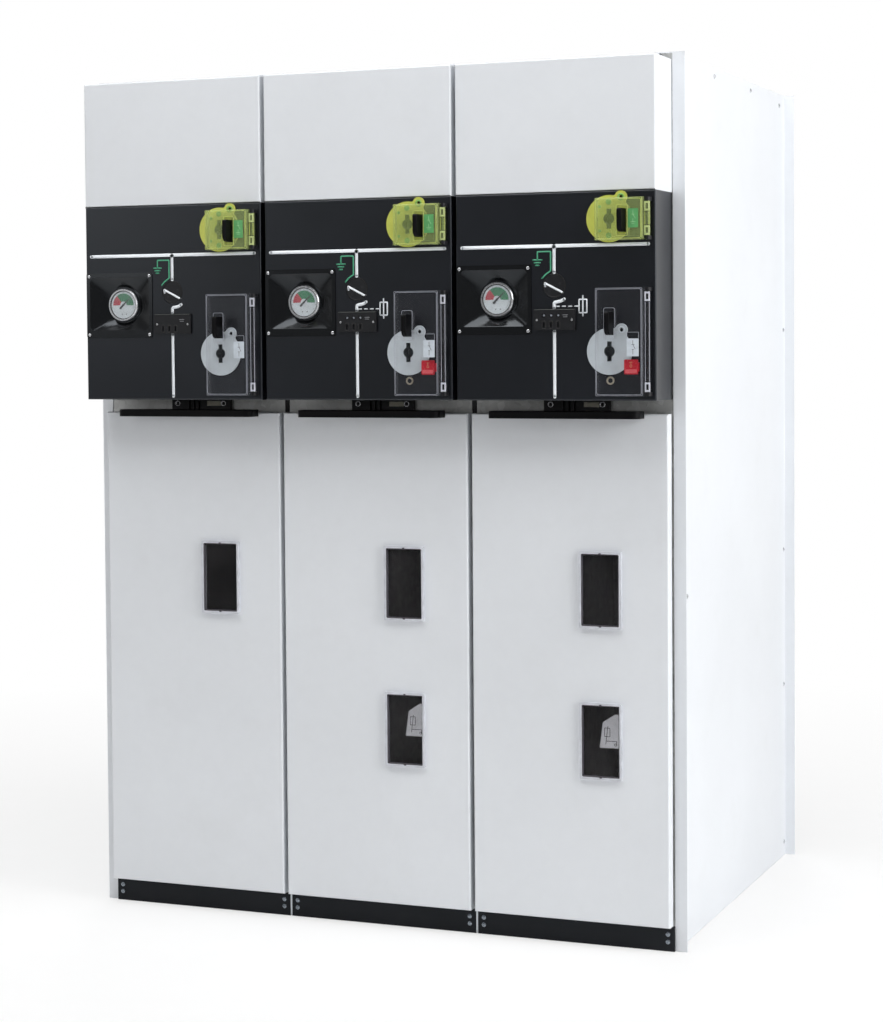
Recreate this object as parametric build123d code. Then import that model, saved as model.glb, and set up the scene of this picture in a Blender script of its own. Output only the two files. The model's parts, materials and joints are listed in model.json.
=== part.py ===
from build123d import *
import os

# A row of three equal medium voltage switchgear cubicles, standing on the floor.
# Frame: +X to the right seen from the front, the front faces -Y, +Z up.
# Origin: middle of the footprint, at floor level. Lengths are in millimetres.
#
# A bay is drawn in its own coordinates: x from its left edge, z from the floor,
# and y from the cubicles' front plane, so the front box and the doors are at y < 0.

# Cubicle row
bay_count = 3
bay_width = 375.0
cabinet_depth = 840.0
sheet = 2.0

# End panels and the walls between bays
outer_flange = 20.0
inner_flange = 20.0
post_leg = 40.0
floor_sheet = 3.0
cover_seam = 1.0
cable_opening_width = 250.0
cable_opening_depth = 300.0
cable_opening_from_front = 180.0
cable_opening_radius = 20.0
fixing_hole_radius = 7.0
fixing_from_end = 45.0
fixing_from_face = 50.0

# Heights of the front, stacked from the floor
plinth_height = 44.0
door_floor_gap = 2.0
door_height = 906.5
strip_height = 25.5
control_panel_height = 362.0
top_cover_height = 232.0
roof_above_cover = 13.0

# Front box: control panel below, cover above
box_projection = 100.0
box_side_gap = 4.0
box_bend = 3.0
return_lip = 20.0

# Front frame behind each door, with the studs that the door hangs on
frame_edge_gap = 5.0
frame_side_bar = 29.0
frame_bottom_bar = 36.0
frame_top_bar = 42.0
stud_inset = 20.0
stud_from_door_end = 84.0
stud_neck_radius = 4.0
stud_neck_length = 9.0
stud_head_radius = 7.0
stud_head = 2.5

# Rubber strip in the joint between two bays
seal_width = 7.4
seal_proud = 1.0

# Plinth
plinth_projection = 5.0

# Lift-off door
door_projection = 28.0
door_bend = 3.0
door_return_end = 6.7
door_lip = 10.0
door_lift = 14.0
hook_gap = 0.3
head_gap = 0.6
hook_edge = 5.0

# Door windows
window_from_right = 89.0
window_width = 78.0
window_height = 136.5
upper_window_up = 526.5
lower_window_up = 257.5
window_corner = 2.0
window_bar = 4.0
window_proud = 7.0
window_neck = 1.0
window_neck_depth = 9.0
window_fit = 0.3
window_notch_radius = 2.5
pane_thickness = 3.0
pane_rebate = 1.5
pane_recess = 6.0

# Door handle
handle_length = 281.0
handle_reach = 37.0
handle_height = 13.0
handle_above_door = 5.5
handle_wall = 3.0
handle_corner = 14.0
handle_round = 1.4

# Terminal block on the frame's top bar, with two ring contacts and a comb between them
terminal_left_of_middle = 51.5
terminal_right_of_middle = 71.5
terminal_height = 22.0
terminal_depth = 9.0
contact_from_end = 13.0
contact_ring_radius = 5.2
contact_hole_radius = 2.4
contact_proud = 1.5
contact_up = 13.0
comb_slots = 3
comb_slot_width = 4.0
comb_pitch = 10.0
comb_depth = 5.0

# Pressure gauge in its moulded funnel, placed from the panel's left and lower edges
gauge_x = 77.0
gauge_up = 178.0
gauge_plate_width = 140.0
gauge_plate_height = 122.0
gauge_plate_x = 75.5
gauge_plate_up = 177.0
gauge_plate_corner = 4.0
gauge_plate_proud = 1.5
funnel_width = 126.0
funnel_height = 100.0
funnel_up = 180.0
funnel_corner = 10.0
funnel_depth = 17.0
funnel_wall = 2.0
funnel_throat_radius = 34.0
funnel_fit = 0.5
bezel_radius = 31.0
bezel_depth = 6.0
bezel_rim = 3.5
bezel_chamfer = 1.5
dial_recess = 3.0
gauge_case_radius = 28.0
gauge_case_depth = 28.0
gauge_case_fit = 0.3

# Switch position indicator, a disc that turns in the panel
indicator_up = 200.5
indicator_radius = 21.0
indicator_thickness = 4.0
indicator_fit = 0.4
indicator_recess = 0.6

# Voltage indicator block
voltage_from_gauge = 4.5
voltage_width = 77.0
voltage_height = 37.0
voltage_up = 123.0
voltage_proud = 4.0
voltage_corner = 3.0
lamp_count = 3
lamp_first = 19.3
lamp_pitch = 13.1
lamp_up = 25.6
lamp_radius = 3.4
socket_up = 9.5
socket_width = 3.0
socket_height = 9.0
voltage_recess = 2.5

# Lock discs, one for the earthing switch and one for the load switch
disc_from_right = 86.6
earthing_disc_down = 48.0
switch_disc_up = 85.5
disc_radius = 40.5
disc_thickness = 2.5
disc_stand = 1.5
ear_offset_x = 21.7
ear_offset_z = 37.0
ear_radius = 11.0
ear_blend = 5.0
ear_hole_radius = 3.2
boss_proud = 1.2
large_boss_radius = 5.5
large_boss_offset = 29.0
small_boss_radius = 3.0
small_boss_offset_x = 16.0
small_boss_offset_z = 21.0
keyhole_radius = 9.8
keyhole_slot_width = 8.5
keyhole_slot_height = 34.5
journal_radius = 22.0
journal_fit = 0.3
journal_depth = 18.0
socket_floor = 2.0
shoulder_width = 3.0
seat_gap = 0.3

# Hinged flaps over the discs
flap_stand = 25.0
flap_wall = 2.5
flap_skirt = 15.0
flap_bend = 2.0
flap_width = 85.0
flap_to_hinge = 6.0
earthing_flap_height = 72.5
earthing_flap_down = 13.0
switch_flap_height = 186.5
switch_flap_up = 8.5
hinge_from_right = 15.0
hinge_stand = 12.0
barrel_radius = 4.7
pin_radius = 2.0
pin_fit = 0.2
lug_height = 6.5
lug_gap = 0.5
end_knuckle = 17.0
knuckle_gap = 0.8

# Black pull tab that stands in a cup in each flap
grip_thickness = 8.5
grip_height = 40.0
grip_reach = 18.0
grip_lower_round = 12.0
grip_upper_round = 4.0
grip_edge_round = 0.8
earthing_grip_from_hinge = 41.9
earthing_grip_down = 52.0
switch_grip_from_hinge = 65.1
switch_grip_up = 133.5
cup_width = 20.0
cup_height = 53.5
cup_corner = 4.0
cup_wall = 2.0
cup_depth = 13.0

# Red trip button beside the load switch, on the fuse bays
trip_bays = (1, 2)
trip_from_right = 32.0
trip_width = 24.3
trip_height = 25.5
trip_up = 46.0
trip_corner = 2.0
trip_stand = 13.5
trip_cap = 3.5
trip_stem_width = 8.0
trip_stem_inset = 2.0
trip_stem_height = 15.0
trip_stem_depth = 9.0

# Label plate behind the lower window, on the fuse bays, fixed to the frame's side bar
label_plate_left = 234.0
label_plate_top_left = 240.0
label_plate_peak = 262.0
label_plate_hold = 8.0
label_plate_up = 308.6
label_plate_shoulder = 46.0
label_plate_height = 60.5
label_plate_thickness = 1.5

# Worked out from the sizes above
row_width = bay_count * bay_width
bay_middle = bay_width / 2.0
door_bottom = plinth_height + door_floor_gap
door_top = door_bottom + door_height
panel_bottom = door_top + strip_height
panel_top = panel_bottom + control_panel_height
cover_top = panel_top + top_cover_height
cabinet_height = cover_top + roof_above_cover
stud_heights = (door_bottom + stud_from_door_end, door_top - stud_from_door_end)
front_reach = box_projection + flap_stand + grip_reach
front_y = (front_reach - cabinet_depth) / 2.0
frame_height = cabinet_height - sheet
box_front = -box_projection
flap_front = box_front - flap_stand
cup_back = flap_front + cup_depth
gauge_z = panel_bottom + gauge_up
gauge_plate_z = panel_bottom + gauge_plate_up
funnel_z = panel_bottom + funnel_up
indicator_x = bay_middle
indicator_z = panel_bottom + indicator_up
voltage_left = gauge_plate_x + gauge_plate_width / 2.0 + voltage_from_gauge
voltage_bottom = panel_bottom + voltage_up
disc_x = bay_width - disc_from_right
earthing_disc_z = panel_top - earthing_disc_down
switch_disc_z = panel_bottom + switch_disc_up
hinge_x = bay_width - hinge_from_right
flap_right = hinge_x - flap_to_hinge
flap_left = flap_right - flap_width
earthing_flap_top = panel_top - earthing_flap_down
earthing_flap_bottom = earthing_flap_top - earthing_flap_height
earthing_grip_x = hinge_x - earthing_grip_from_hinge
earthing_grip_z = panel_top - earthing_grip_down
switch_grip_x = hinge_x - switch_grip_from_hinge
switch_grip_z = panel_bottom + switch_grip_up
switch_flap_bottom = panel_bottom + switch_flap_up
switch_flap_top = switch_flap_bottom + switch_flap_height
trip_right = bay_width - trip_from_right
trip_left = trip_right - trip_width
trip_bottom = panel_bottom + trip_up
trip_top = trip_bottom + trip_height
window_right = bay_width - window_from_right
window_left = window_right - window_width
stud_head_back = -stud_neck_length
hook_front = stud_head_back + hook_gap
hook_back = hook_front + sheet
window_front = -door_projection - window_proud
window_back = window_neck_depth - door_projection
pane_front_to_back = window_back - window_front - pane_recess


def bay_left(bay):
    return bay * bay_width - row_width / 2.0


def slab(x, y, z):
    size = Box(x[1] - x[0], y[1] - y[0], z[1] - z[0], align=(Align.MIN,) * 3)
    return Pos(x[0], y[0], z[0]) * size


def plate(sketch, back, thickness):
    # A sketch in x and z, made solid from its back face towards the front.
    face = Plane(origin=(0, back, 0), x_dir=(1, 0, 0), z_dir=(0, -1, 0)) * sketch
    return extrude(face, thickness)


def rectangle(x, z, radius=0.0):
    middle = Pos((x[0] + x[1]) / 2.0, (z[0] + z[1]) / 2.0)
    if radius > 0:
        return middle * RectangleRounded(x[1] - x[0], z[1] - z[0], radius)
    return middle * Rectangle(x[1] - x[0], z[1] - z[0])


def disc(x, z, radius):
    return Pos(x, z) * Circle(radius)


def post(points, z):
    return Pos(0, 0, z[0]) * extrude(make_face(Polyline(*points, close=True)), z[1] - z[0])


def front_edges(solid):
    return solid.faces().sort_by(Axis.Y)[0].edges()


def save(name, solids):
    placed = [solid for shape in solids for solid in shape.solids()]
    export_step(Compound(placed), f"parts/{name}.step")


def in_bay(bay, shape):
    return Pos(bay_left(bay), front_y, 0) * shape


def in_each_bay(make):
    return [in_bay(bay, make(bay)) for bay in range(bay_count)]


# End panels, with flanges turned out at the front and the rear

def end_panel(side):
    inner = row_width / 2.0 - sheet
    outer = row_width / 2.0
    edge = outer + outer_flange
    rear = cabinet_depth
    points = [
        (inner, 0), (edge, 0), (edge, sheet), (outer, sheet),
        (outer, rear - sheet), (edge, rear - sheet), (edge, rear), (inner, rear),
    ]
    shape = post([(side * x, y) for x, y in points], (0, cabinet_height))
    return Pos(0, front_y, 0) * shape


def corner_posts():
    # Angle sections inside the end panels carry the front and the rear sheets.
    inner = row_width / 2.0 - sheet
    shapes = []
    for side in (-1, 1):
        for face, turn in ((sheet, 1), (cabinet_depth - sheet, -1)):
            points = [
                (inner, face), (inner, face + turn * post_leg),
                (inner - sheet, face + turn * post_leg), (inner - sheet, face + turn * sheet),
                (inner - inner_flange, face + turn * sheet), (inner - inner_flange, face),
            ]
            shape = post([(side * x, y) for x, y in points], (floor_sheet, frame_height))
            shapes.append(Pos(0, front_y, 0) * shape)
    return shapes


def bay_walls():
    # Two cubicle walls back to back, drawn as one double sheet with flanges.
    front = sheet
    rear = cabinet_depth - sheet
    half = [
        (sheet, front + sheet), (inner_flange, front + sheet), (inner_flange, front),
        (-inner_flange, front), (-inner_flange, front + sheet), (-sheet, front + sheet),
        (-sheet, rear - sheet), (-inner_flange, rear - sheet), (-inner_flange, rear),
        (inner_flange, rear), (inner_flange, rear - sheet), (sheet, rear - sheet),
    ]
    wall = post(half, (floor_sheet, frame_height))
    return [Pos(bay_left(bay), front_y, 0) * wall for bay in range(1, bay_count)]


def cover_span(bay):
    # Roof and floor sheets run to the end panels, with a seam over each bay wall.
    left = sheet if bay == 0 else cover_seam
    right = sheet if bay == bay_count - 1 else cover_seam
    return left, bay_width - right


def roof_panel(bay):
    return slab(cover_span(bay), (sheet, cabinet_depth - sheet), (frame_height, cabinet_height))


def floor_panel(bay):
    sheet_metal = slab(cover_span(bay), (sheet, cabinet_depth - sheet), (0, floor_sheet))
    middle = cable_opening_from_front + cable_opening_depth / 2.0
    holes = Pos(bay_middle, middle) * RectangleRounded(
        cable_opening_width, cable_opening_depth, cable_opening_radius)
    # Floor bolts at the four corners of the row
    for end_bay, x in ((0, fixing_from_end), (bay_count - 1, bay_width - fixing_from_end)):
        if bay == end_bay:
            holes += Pos(x, fixing_from_face) * Circle(fixing_hole_radius)
            holes += Pos(x, cabinet_depth - fixing_from_face) * Circle(fixing_hole_radius)
    return sheet_metal - extrude(holes, floor_sheet)


def rear_panel(bay):
    return slab((sheet, bay_width - sheet), (cabinet_depth - sheet, cabinet_depth), (0, frame_height))


def joint_seal():
    half = seal_width / 2.0
    shape = slab((-half, half), (-seal_proud, sheet), (plinth_height, cover_top))
    return [Pos(bay_left(bay), front_y, 0) * shape for bay in range(1, bay_count)]


# Front frame, plinth and terminal block

def front_frame(bay):
    left = frame_edge_gap
    right = bay_width - frame_edge_gap
    outline = rectangle((left, right), (plinth_height, panel_bottom))
    opening = rectangle(
        (left + frame_side_bar, right - frame_side_bar),
        (plinth_height + frame_bottom_bar, panel_bottom - frame_top_bar))
    frame = plate(outline - opening, sheet, sheet)
    for x in (stud_inset, bay_width - stud_inset):
        for z in stud_heights:
            frame += plate(disc(x, z, stud_neck_radius), 0, stud_neck_length)
            frame += plate(disc(x, z, stud_head_radius), stud_head_back, stud_head)
    return frame


def plinth(bay):
    outer = slab((sheet, bay_width - sheet), (-plinth_projection, sheet), (0, plinth_height))
    hollow_y = (sheet - plinth_projection, sheet)
    return outer - slab((sheet, bay_width - sheet), hollow_y, (sheet, plinth_height - sheet))


def terminal_block(bay):
    x = (bay_middle - terminal_left_of_middle, bay_middle + terminal_right_of_middle)
    bottom = panel_bottom - terminal_height
    block = slab(x, (-terminal_depth, 0), (bottom, panel_bottom))
    for place in (x[0] + contact_from_end, x[1] - contact_from_end):
        contact = disc(place, bottom + contact_up, contact_ring_radius)
        block += plate(contact, -terminal_depth, contact_proud)
        hole = disc(place, bottom + contact_up, contact_hole_radius)
        block -= plate(hole, contact_proud - terminal_depth, 2 * contact_proud)
    for number in range(comb_slots):
        slot = bay_middle + (number - (comb_slots - 1)) * comb_pitch + comb_pitch / 2.0
        slot_x = (slot, slot + comb_slot_width)
        block -= slab(slot_x, (-terminal_depth, comb_depth - terminal_depth), (bottom, panel_bottom))
    return block


def label_plate(bay):
    # A sheet behind the frame's right-hand bar, with a slanted free edge.
    bottom = door_bottom + label_plate_up
    right = bay_width - frame_edge_gap - frame_side_bar + label_plate_hold
    top = bottom + label_plate_height
    shoulder = bottom + label_plate_shoulder
    points = [
        (label_plate_left, bottom), (right, bottom), (right, top),
        (label_plate_peak, top), (label_plate_top_left, shoulder),
    ]
    outline = make_face(Polyline(*points, close=True))
    return plate(outline, sheet + label_plate_thickness, label_plate_thickness)


# Front box

def pan(z):
    x = (box_side_gap, bay_width - box_side_gap)
    shell = slab(x, (box_front, sheet), z)
    shell = fillet(front_edges(shell), box_bend)
    inner_x = (x[0] + sheet, x[1] - sheet)
    inner = slab(inner_x, (box_front + sheet, sheet), (z[0] + sheet, z[1] - sheet))
    return shell - inner


def top_cover(bay):
    cover = pan((panel_top, cover_top))
    x = (box_side_gap + sheet, bay_width - box_side_gap - sheet)
    behind_lip = slab(x, (box_front + return_lip, sheet), (panel_top, panel_top + sheet))
    return cover - behind_lip


def disc_holes():
    radius = journal_radius + journal_fit
    return disc(disc_x, earthing_disc_z, radius) + disc(disc_x, switch_disc_z, radius)


def control_panel(bay):
    panel = pan((panel_bottom, panel_top))
    x = (box_side_gap + sheet, bay_width - box_side_gap - sheet)
    panel -= slab(x, (box_front + return_lip, sheet), (panel_top - sheet, panel_top))
    grow = funnel_wall + funnel_fit
    holes = rectangle(
        (gauge_plate_x - funnel_width / 2.0 - grow, gauge_plate_x + funnel_width / 2.0 + grow),
        (funnel_z - funnel_height / 2.0 - grow, funnel_z + funnel_height / 2.0 + grow),
        funnel_corner + grow)
    holes += disc(indicator_x, indicator_z, indicator_radius + indicator_fit)
    holes += disc_holes()
    if bay in trip_bays:
        holes += trip_stem_outline(seat_gap)
    return panel - plate(holes, box_front + sheet, sheet)


# Pressure gauge

def gauge_plate(bay):
    front = box_front - gauge_plate_proud
    back = box_front + funnel_depth
    x = (gauge_plate_x - gauge_plate_width / 2.0, gauge_plate_x + gauge_plate_width / 2.0)
    z = (gauge_plate_z - gauge_plate_height / 2.0, gauge_plate_z + gauge_plate_height / 2.0)
    flange = plate(rectangle(x, z, gauge_plate_corner), box_front, gauge_plate_proud)
    outer = funnel(box_front, back, funnel_wall)
    inner = funnel(front, back - funnel_wall, 0.0)
    hole = plate(disc(gauge_x, gauge_z, gauge_case_radius + gauge_case_fit), back, funnel_depth)
    return flange + outer - inner - hole


def funnel(front, back, grow):
    # The mouth is a rounded rectangle and the throat is round, off its middle.
    mouth = Pos(gauge_plate_x, funnel_z) * RectangleRounded(
        funnel_width + 2 * grow, funnel_height + 2 * grow, funnel_corner + grow)
    throat = disc(gauge_x, gauge_z, funnel_throat_radius + grow)
    mouth_plane = Plane(origin=(0, front, 0), x_dir=(1, 0, 0), z_dir=(0, -1, 0))
    throat_plane = Plane(origin=(0, back, 0), x_dir=(1, 0, 0), z_dir=(0, -1, 0))
    return loft([throat_plane * throat, mouth_plane * mouth])


def pressure_gauge(bay):
    seat = box_front + funnel_depth - funnel_wall
    front = seat - bezel_depth
    rim = bezel_radius - bezel_rim
    points = [
        (0, seat + gauge_case_depth), (gauge_case_radius, seat + gauge_case_depth),
        (gauge_case_radius, seat), (bezel_radius, seat), (bezel_radius, front + bezel_chamfer),
        (bezel_radius - bezel_chamfer, front), (rim, front),
        (rim, front + dial_recess), (0, front + dial_recess),
    ]
    outline = make_face(Polyline(*points, close=True))
    body = revolve(outline, Axis.Y)
    return Pos(gauge_x, 0, gauge_z) * body


# Indicators on the control panel

def position_indicator():
    front = box_front + indicator_recess
    outline = disc(indicator_x, indicator_z, indicator_radius)
    return plate(outline, front + indicator_thickness, indicator_thickness)


def voltage_indicator(bay):
    x = (voltage_left, voltage_left + voltage_width)
    outline = rectangle(x, (voltage_bottom, voltage_bottom + voltage_height), voltage_corner)
    block = plate(outline, box_front, voltage_proud)
    front = box_front - voltage_proud
    for number in range(lamp_count):
        place = voltage_left + lamp_first + number * lamp_pitch
        if bay in trip_bays:
            lamp = disc(place, voltage_bottom + lamp_up, lamp_radius)
            block -= plate(lamp, front + voltage_recess, voltage_recess)
        socket = Pos(place, voltage_bottom + socket_up) * Rectangle(socket_width, socket_height)
        block -= plate(socket, front + voltage_recess, voltage_recess)
    return block


# Lock discs

def lock_disc(z, bosses):
    # A thin disc with a padlock ear, on a journal that is a blind socket for the lever.
    ear_x = disc_x + ear_offset_x
    ear_z = z + ear_offset_z
    back = box_front - disc_stand
    front = back - disc_thickness
    journal_end = box_front + journal_depth
    outline = disc(disc_x, z, disc_radius) + disc(ear_x, ear_z, ear_radius)
    solid = plate(outline, back, disc_thickness)
    corners = solid.edges().filter_by(Axis.Y).sort_by(Axis.X)[:2]
    solid = fillet(corners, ear_blend)
    solid -= plate(disc(ear_x, ear_z, ear_hole_radius), back, disc_thickness)
    shoulder = disc(disc_x, z, journal_radius + shoulder_width)
    solid += plate(shoulder, box_front - seat_gap, disc_stand - seat_gap)
    solid += plate(disc(disc_x, z, journal_radius), journal_end, journal_depth + seat_gap)
    if bosses:
        for side in (-1, 1):
            large = disc(disc_x, z + side * large_boss_offset, large_boss_radius)
            small = disc(disc_x - small_boss_offset_x, z + side * small_boss_offset_z, small_boss_radius)
            solid += plate(large + small, front, boss_proud)
    socket_back = journal_end - socket_floor
    return solid - plate(keyhole(z), socket_back, socket_back - front)


def keyhole(z):
    slot = Pos(disc_x, z) * Rectangle(keyhole_slot_width, keyhole_slot_height)
    return disc(disc_x, z, keyhole_radius) + slot


# Hinged flaps

def cup_outline(x, z, inset):
    width = cup_width - 2 * inset
    height = cup_height - 2 * inset
    return Pos(x, z) * RectangleRounded(width, height, cup_corner - inset)


def flap(bottom, top, grip_x, grip_z):
    x = (flap_left, flap_right)
    skirt_end = flap_front + flap_skirt
    shell = slab(x, (flap_front, skirt_end), (bottom, top))
    shell = fillet(front_edges(shell), flap_bend)
    inner_x = (x[0] + flap_wall, x[1] - flap_wall)
    shell -= slab(inner_x, (flap_front + flap_wall, skirt_end), (bottom + flap_wall, top - flap_wall))
    # Cup for the pull tab, closed at the back
    shell += plate(cup_outline(grip_x, grip_z, 0.0), cup_back, cup_depth)
    shell -= plate(cup_outline(grip_x, grip_z, cup_wall), cup_back - cup_wall, cup_depth - cup_wall)
    # Hinge barrel in three knuckles, and the web that joins them to the flap
    axis_y = box_front - hinge_stand
    barrel_z = (bottom + lug_height + lug_gap, top - lug_height - lug_gap)
    barrel_length = barrel_z[1] - barrel_z[0]
    web = slab((x[1] - flap_wall, hinge_x), (axis_y - flap_wall, axis_y), barrel_z)
    barrel = Pos(hinge_x, axis_y, barrel_z[0]) * extrude(Circle(barrel_radius), barrel_length)
    for z in (barrel_z[0] + end_knuckle, barrel_z[1] - end_knuckle - knuckle_gap):
        barrel -= Pos(hinge_x, axis_y, z) * extrude(Circle(2 * barrel_radius), knuckle_gap)
    bore = Pos(hinge_x, axis_y, barrel_z[0]) * extrude(Circle(pin_radius + pin_fit), barrel_length)
    return shell + web + barrel - bore


def flap_grip(grip_x, grip_z):
    # A flat tab with its tip rounded more below than above, drawn in y and z.
    tip = flap_front - grip_reach
    root = cup_back - cup_wall
    low = grip_z - grip_height / 2.0
    high = grip_z + grip_height / 2.0
    side = Plane(origin=(grip_x - grip_thickness / 2.0, 0, 0), x_dir=(0, 1, 0), z_dir=(1, 0, 0))
    outline = Pos((tip + root) / 2.0, (low + high) / 2.0) * Rectangle(root - tip, high - low)
    corners = outline.vertices().group_by(Axis.X)[0].sort_by(Axis.Y)
    outline = fillet(corners[0], grip_lower_round)
    corners = outline.vertices().group_by(Axis.Y)[-1].sort_by(Axis.X)
    outline = fillet(corners[0], grip_upper_round)
    tab = extrude(side * outline, grip_thickness)
    outer = tab.edges().filter_by_position(Axis.Y, tip - grip_edge_round, (flap_front + root) / 2.0)
    return fillet(outer - outer.filter_by(Axis.X), grip_edge_round)


def flap_hinge(bottom, top):
    # Two lugs that stand on the panel, and the pin between them
    axis_y = box_front - hinge_stand
    outline = Pos(hinge_x, axis_y) * Circle(barrel_radius)
    outline += Pos(hinge_x, (axis_y + box_front) / 2.0) * Rectangle(2 * barrel_radius, hinge_stand)
    lug = extrude(outline, lug_height)
    pin = Pos(hinge_x, axis_y, bottom) * extrude(Circle(pin_radius), top - bottom)
    return Pos(0, 0, bottom) * lug + Pos(0, 0, top - lug_height) * lug + pin


# Trip button

def trip_stem_outline(gap):
    right = trip_right - trip_stem_inset
    middle = (trip_bottom + trip_top) / 2.0
    x = (right - trip_stem_width - gap, right + gap)
    z = (middle - trip_stem_height / 2.0 - gap, middle + trip_stem_height / 2.0 + gap)
    return rectangle(x, z)


def trip_button():
    back = box_front - trip_stand
    cap = plate(rectangle((trip_left, trip_right), (trip_bottom, trip_top), trip_corner), back, trip_cap)
    stem = plate(trip_stem_outline(0.0), box_front + trip_stem_depth, trip_stand + trip_stem_depth)
    return cap + stem


# Lift-off door with its windows and handle

def window_bottoms(bay):
    upper = door_bottom + upper_window_up
    lower = door_bottom + lower_window_up
    return (upper, lower) if bay in trip_bays else (upper,)


def window_outline(bottom, inset):
    x = (window_left + inset, window_right - inset)
    return rectangle(x, (bottom + inset, bottom + window_height - inset), window_corner)


def door(bay):
    x = (box_side_gap, bay_width - box_side_gap)
    z = (door_bottom, door_top)
    shell = slab(x, (-door_projection, -door_return_end), z)
    shell = fillet(front_edges(shell), door_bend)
    inner_x = (x[0] + sheet, x[1] - sheet)
    inner_z = (z[0] + sheet, z[1] - sheet)
    shell -= slab(inner_x, (sheet - door_projection, -door_return_end), inner_z)
    # The top and bottom returns are short, so they clear the terminal block.
    shell -= slab(inner_x, (sheet + door_lip - door_projection, -door_return_end), z)
    for bottom in window_bottoms(bay):
        cut = window_outline(bottom, window_neck - window_fit)
        shell -= plate(cut, sheet - door_projection, sheet)
    for height in stud_heights:
        shell += hook(height, 1)
        shell += hook(height, -1)
    return shell


def hook(height, side):
    # Keyhole tab: the door hangs by its narrow end and lifts to the wide one.
    head = stud_head_radius + head_gap
    neck = stud_neck_radius + hook_gap
    inner = box_side_gap + sheet
    tab_end = stud_inset + head + hook_edge
    tab = rectangle((inner, tab_end), (height - door_lift - head - hook_edge, height + neck + hook_edge))
    slot = disc(stud_inset, height, neck) + disc(stud_inset, height - door_lift, head)
    slot += rectangle((stud_inset - neck, stud_inset + neck), (height - door_lift, height))
    shape = plate(tab - slot, hook_back, sheet)
    if side > 0:
        return shape
    return Pos(bay_width, 0, 0) * mirror(shape, Plane.YZ)


def window_frame(bottom):
    ring = plate(window_outline(bottom, 0.0), -door_projection, window_proud)
    neck = plate(window_outline(bottom, window_neck), window_back, window_neck_depth)
    hole = plate(window_outline(bottom, window_bar), window_back, window_neck_depth + window_proud)
    rebate = plate(window_outline(bottom, window_bar - pane_rebate), window_back, pane_front_to_back)
    middle = (window_left + window_right) / 2.0
    notches = disc(middle, bottom + window_bar, window_notch_radius)
    notches += disc(middle, bottom + window_height - window_bar, window_notch_radius)
    notch_depth = window_proud / 2.0
    return ring + neck - hole - rebate - plate(notches, window_front + notch_depth, notch_depth)


def window_pane(bottom):
    outline = window_outline(bottom, window_bar - pane_rebate)
    return plate(outline, window_front + pane_recess + pane_thickness, pane_thickness)


def door_handle(bay):
    x = (bay_middle - handle_length / 2.0, bay_middle + handle_length / 2.0)
    y = (-door_projection - handle_reach, -door_projection)
    top = door_top + handle_above_door
    z = (top - handle_height, top)
    grip = slab(x, y, z)
    corners = grip.edges().filter_by(Axis.Z).group_by(Axis.Y)[0]
    grip = fillet(corners, handle_corner)
    grip = fillet(grip.faces().sort_by(Axis.Z)[-1].edges().filter_by_position(
        Axis.Y, y[0], y[1] - handle_wall), handle_round)
    inner_x = (x[0] + handle_wall, x[1] - handle_wall)
    hollow = slab(inner_x, (y[0] + handle_wall, y[1]), (z[0], z[1] - handle_wall))
    hollow = fillet(hollow.edges().filter_by(Axis.Z).group_by(Axis.Y)[0], handle_corner - handle_wall)
    return grip - hollow


def main():
    os.makedirs("parts", exist_ok=True)
    save("end_panel_left", [end_panel(-1)])
    save("end_panel_right", [end_panel(1)])
    save("corner_posts", corner_posts())
    save("bay_walls", bay_walls())
    save("roof_panels", in_each_bay(roof_panel))
    save("floor_panels", in_each_bay(floor_panel))
    save("rear_panels", in_each_bay(rear_panel))
    save("joint_seals", joint_seal())
    save("front_frames", in_each_bay(front_frame))
    save("plinths", in_each_bay(plinth))
    save("terminal_blocks", in_each_bay(terminal_block))
    save("gauge_plates", in_each_bay(gauge_plate))
    save("pressure_gauges", in_each_bay(pressure_gauge))
    save("voltage_indicators", in_each_bay(voltage_indicator))
    hinges = [flap_hinge(earthing_flap_bottom, earthing_flap_top),
              flap_hinge(switch_flap_bottom, switch_flap_top)]
    save("flap_hinges", [in_bay(bay, hinge) for bay in range(bay_count) for hinge in hinges])
    save("label_plates", [in_bay(bay, label_plate(bay)) for bay in trip_bays])
    for bay in range(bay_count):
        number = bay + 1
        save(f"top_cover_{number}", [in_bay(bay, top_cover(bay))])
        save(f"control_panel_{number}", [in_bay(bay, control_panel(bay))])
        save(f"position_indicator_{number}", [in_bay(bay, position_indicator())])
        save(f"earthing_lock_disc_{number}", [in_bay(bay, lock_disc(earthing_disc_z, True))])
        save(f"switch_lock_disc_{number}", [in_bay(bay, lock_disc(switch_disc_z, False))])
        save(f"earthing_flap_{number}", [in_bay(bay, flap(
            earthing_flap_bottom, earthing_flap_top, earthing_grip_x, earthing_grip_z))])
        save(f"switch_flap_{number}", [in_bay(bay, flap(
            switch_flap_bottom, switch_flap_top, switch_grip_x, switch_grip_z))])
        save(f"earthing_flap_grip_{number}", [in_bay(bay, flap_grip(earthing_grip_x, earthing_grip_z))])
        save(f"switch_flap_grip_{number}", [in_bay(bay, flap_grip(switch_grip_x, switch_grip_z))])
        save(f"door_{number}", [in_bay(bay, door(bay))])
        save(f"door_handle_{number}", [in_bay(bay, door_handle(bay))])
        bottoms = window_bottoms(bay)
        save(f"window_frames_{number}", [in_bay(bay, window_frame(bottom)) for bottom in bottoms])
        save(f"window_panes_{number}", [in_bay(bay, window_pane(bottom)) for bottom in bottoms])
        if bay in trip_bays:
            save(f"trip_button_{number}", [in_bay(bay, trip_button())])


main()
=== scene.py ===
import json
import math

import bmesh
import bpy
from mathutils import Matrix, Vector


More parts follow.
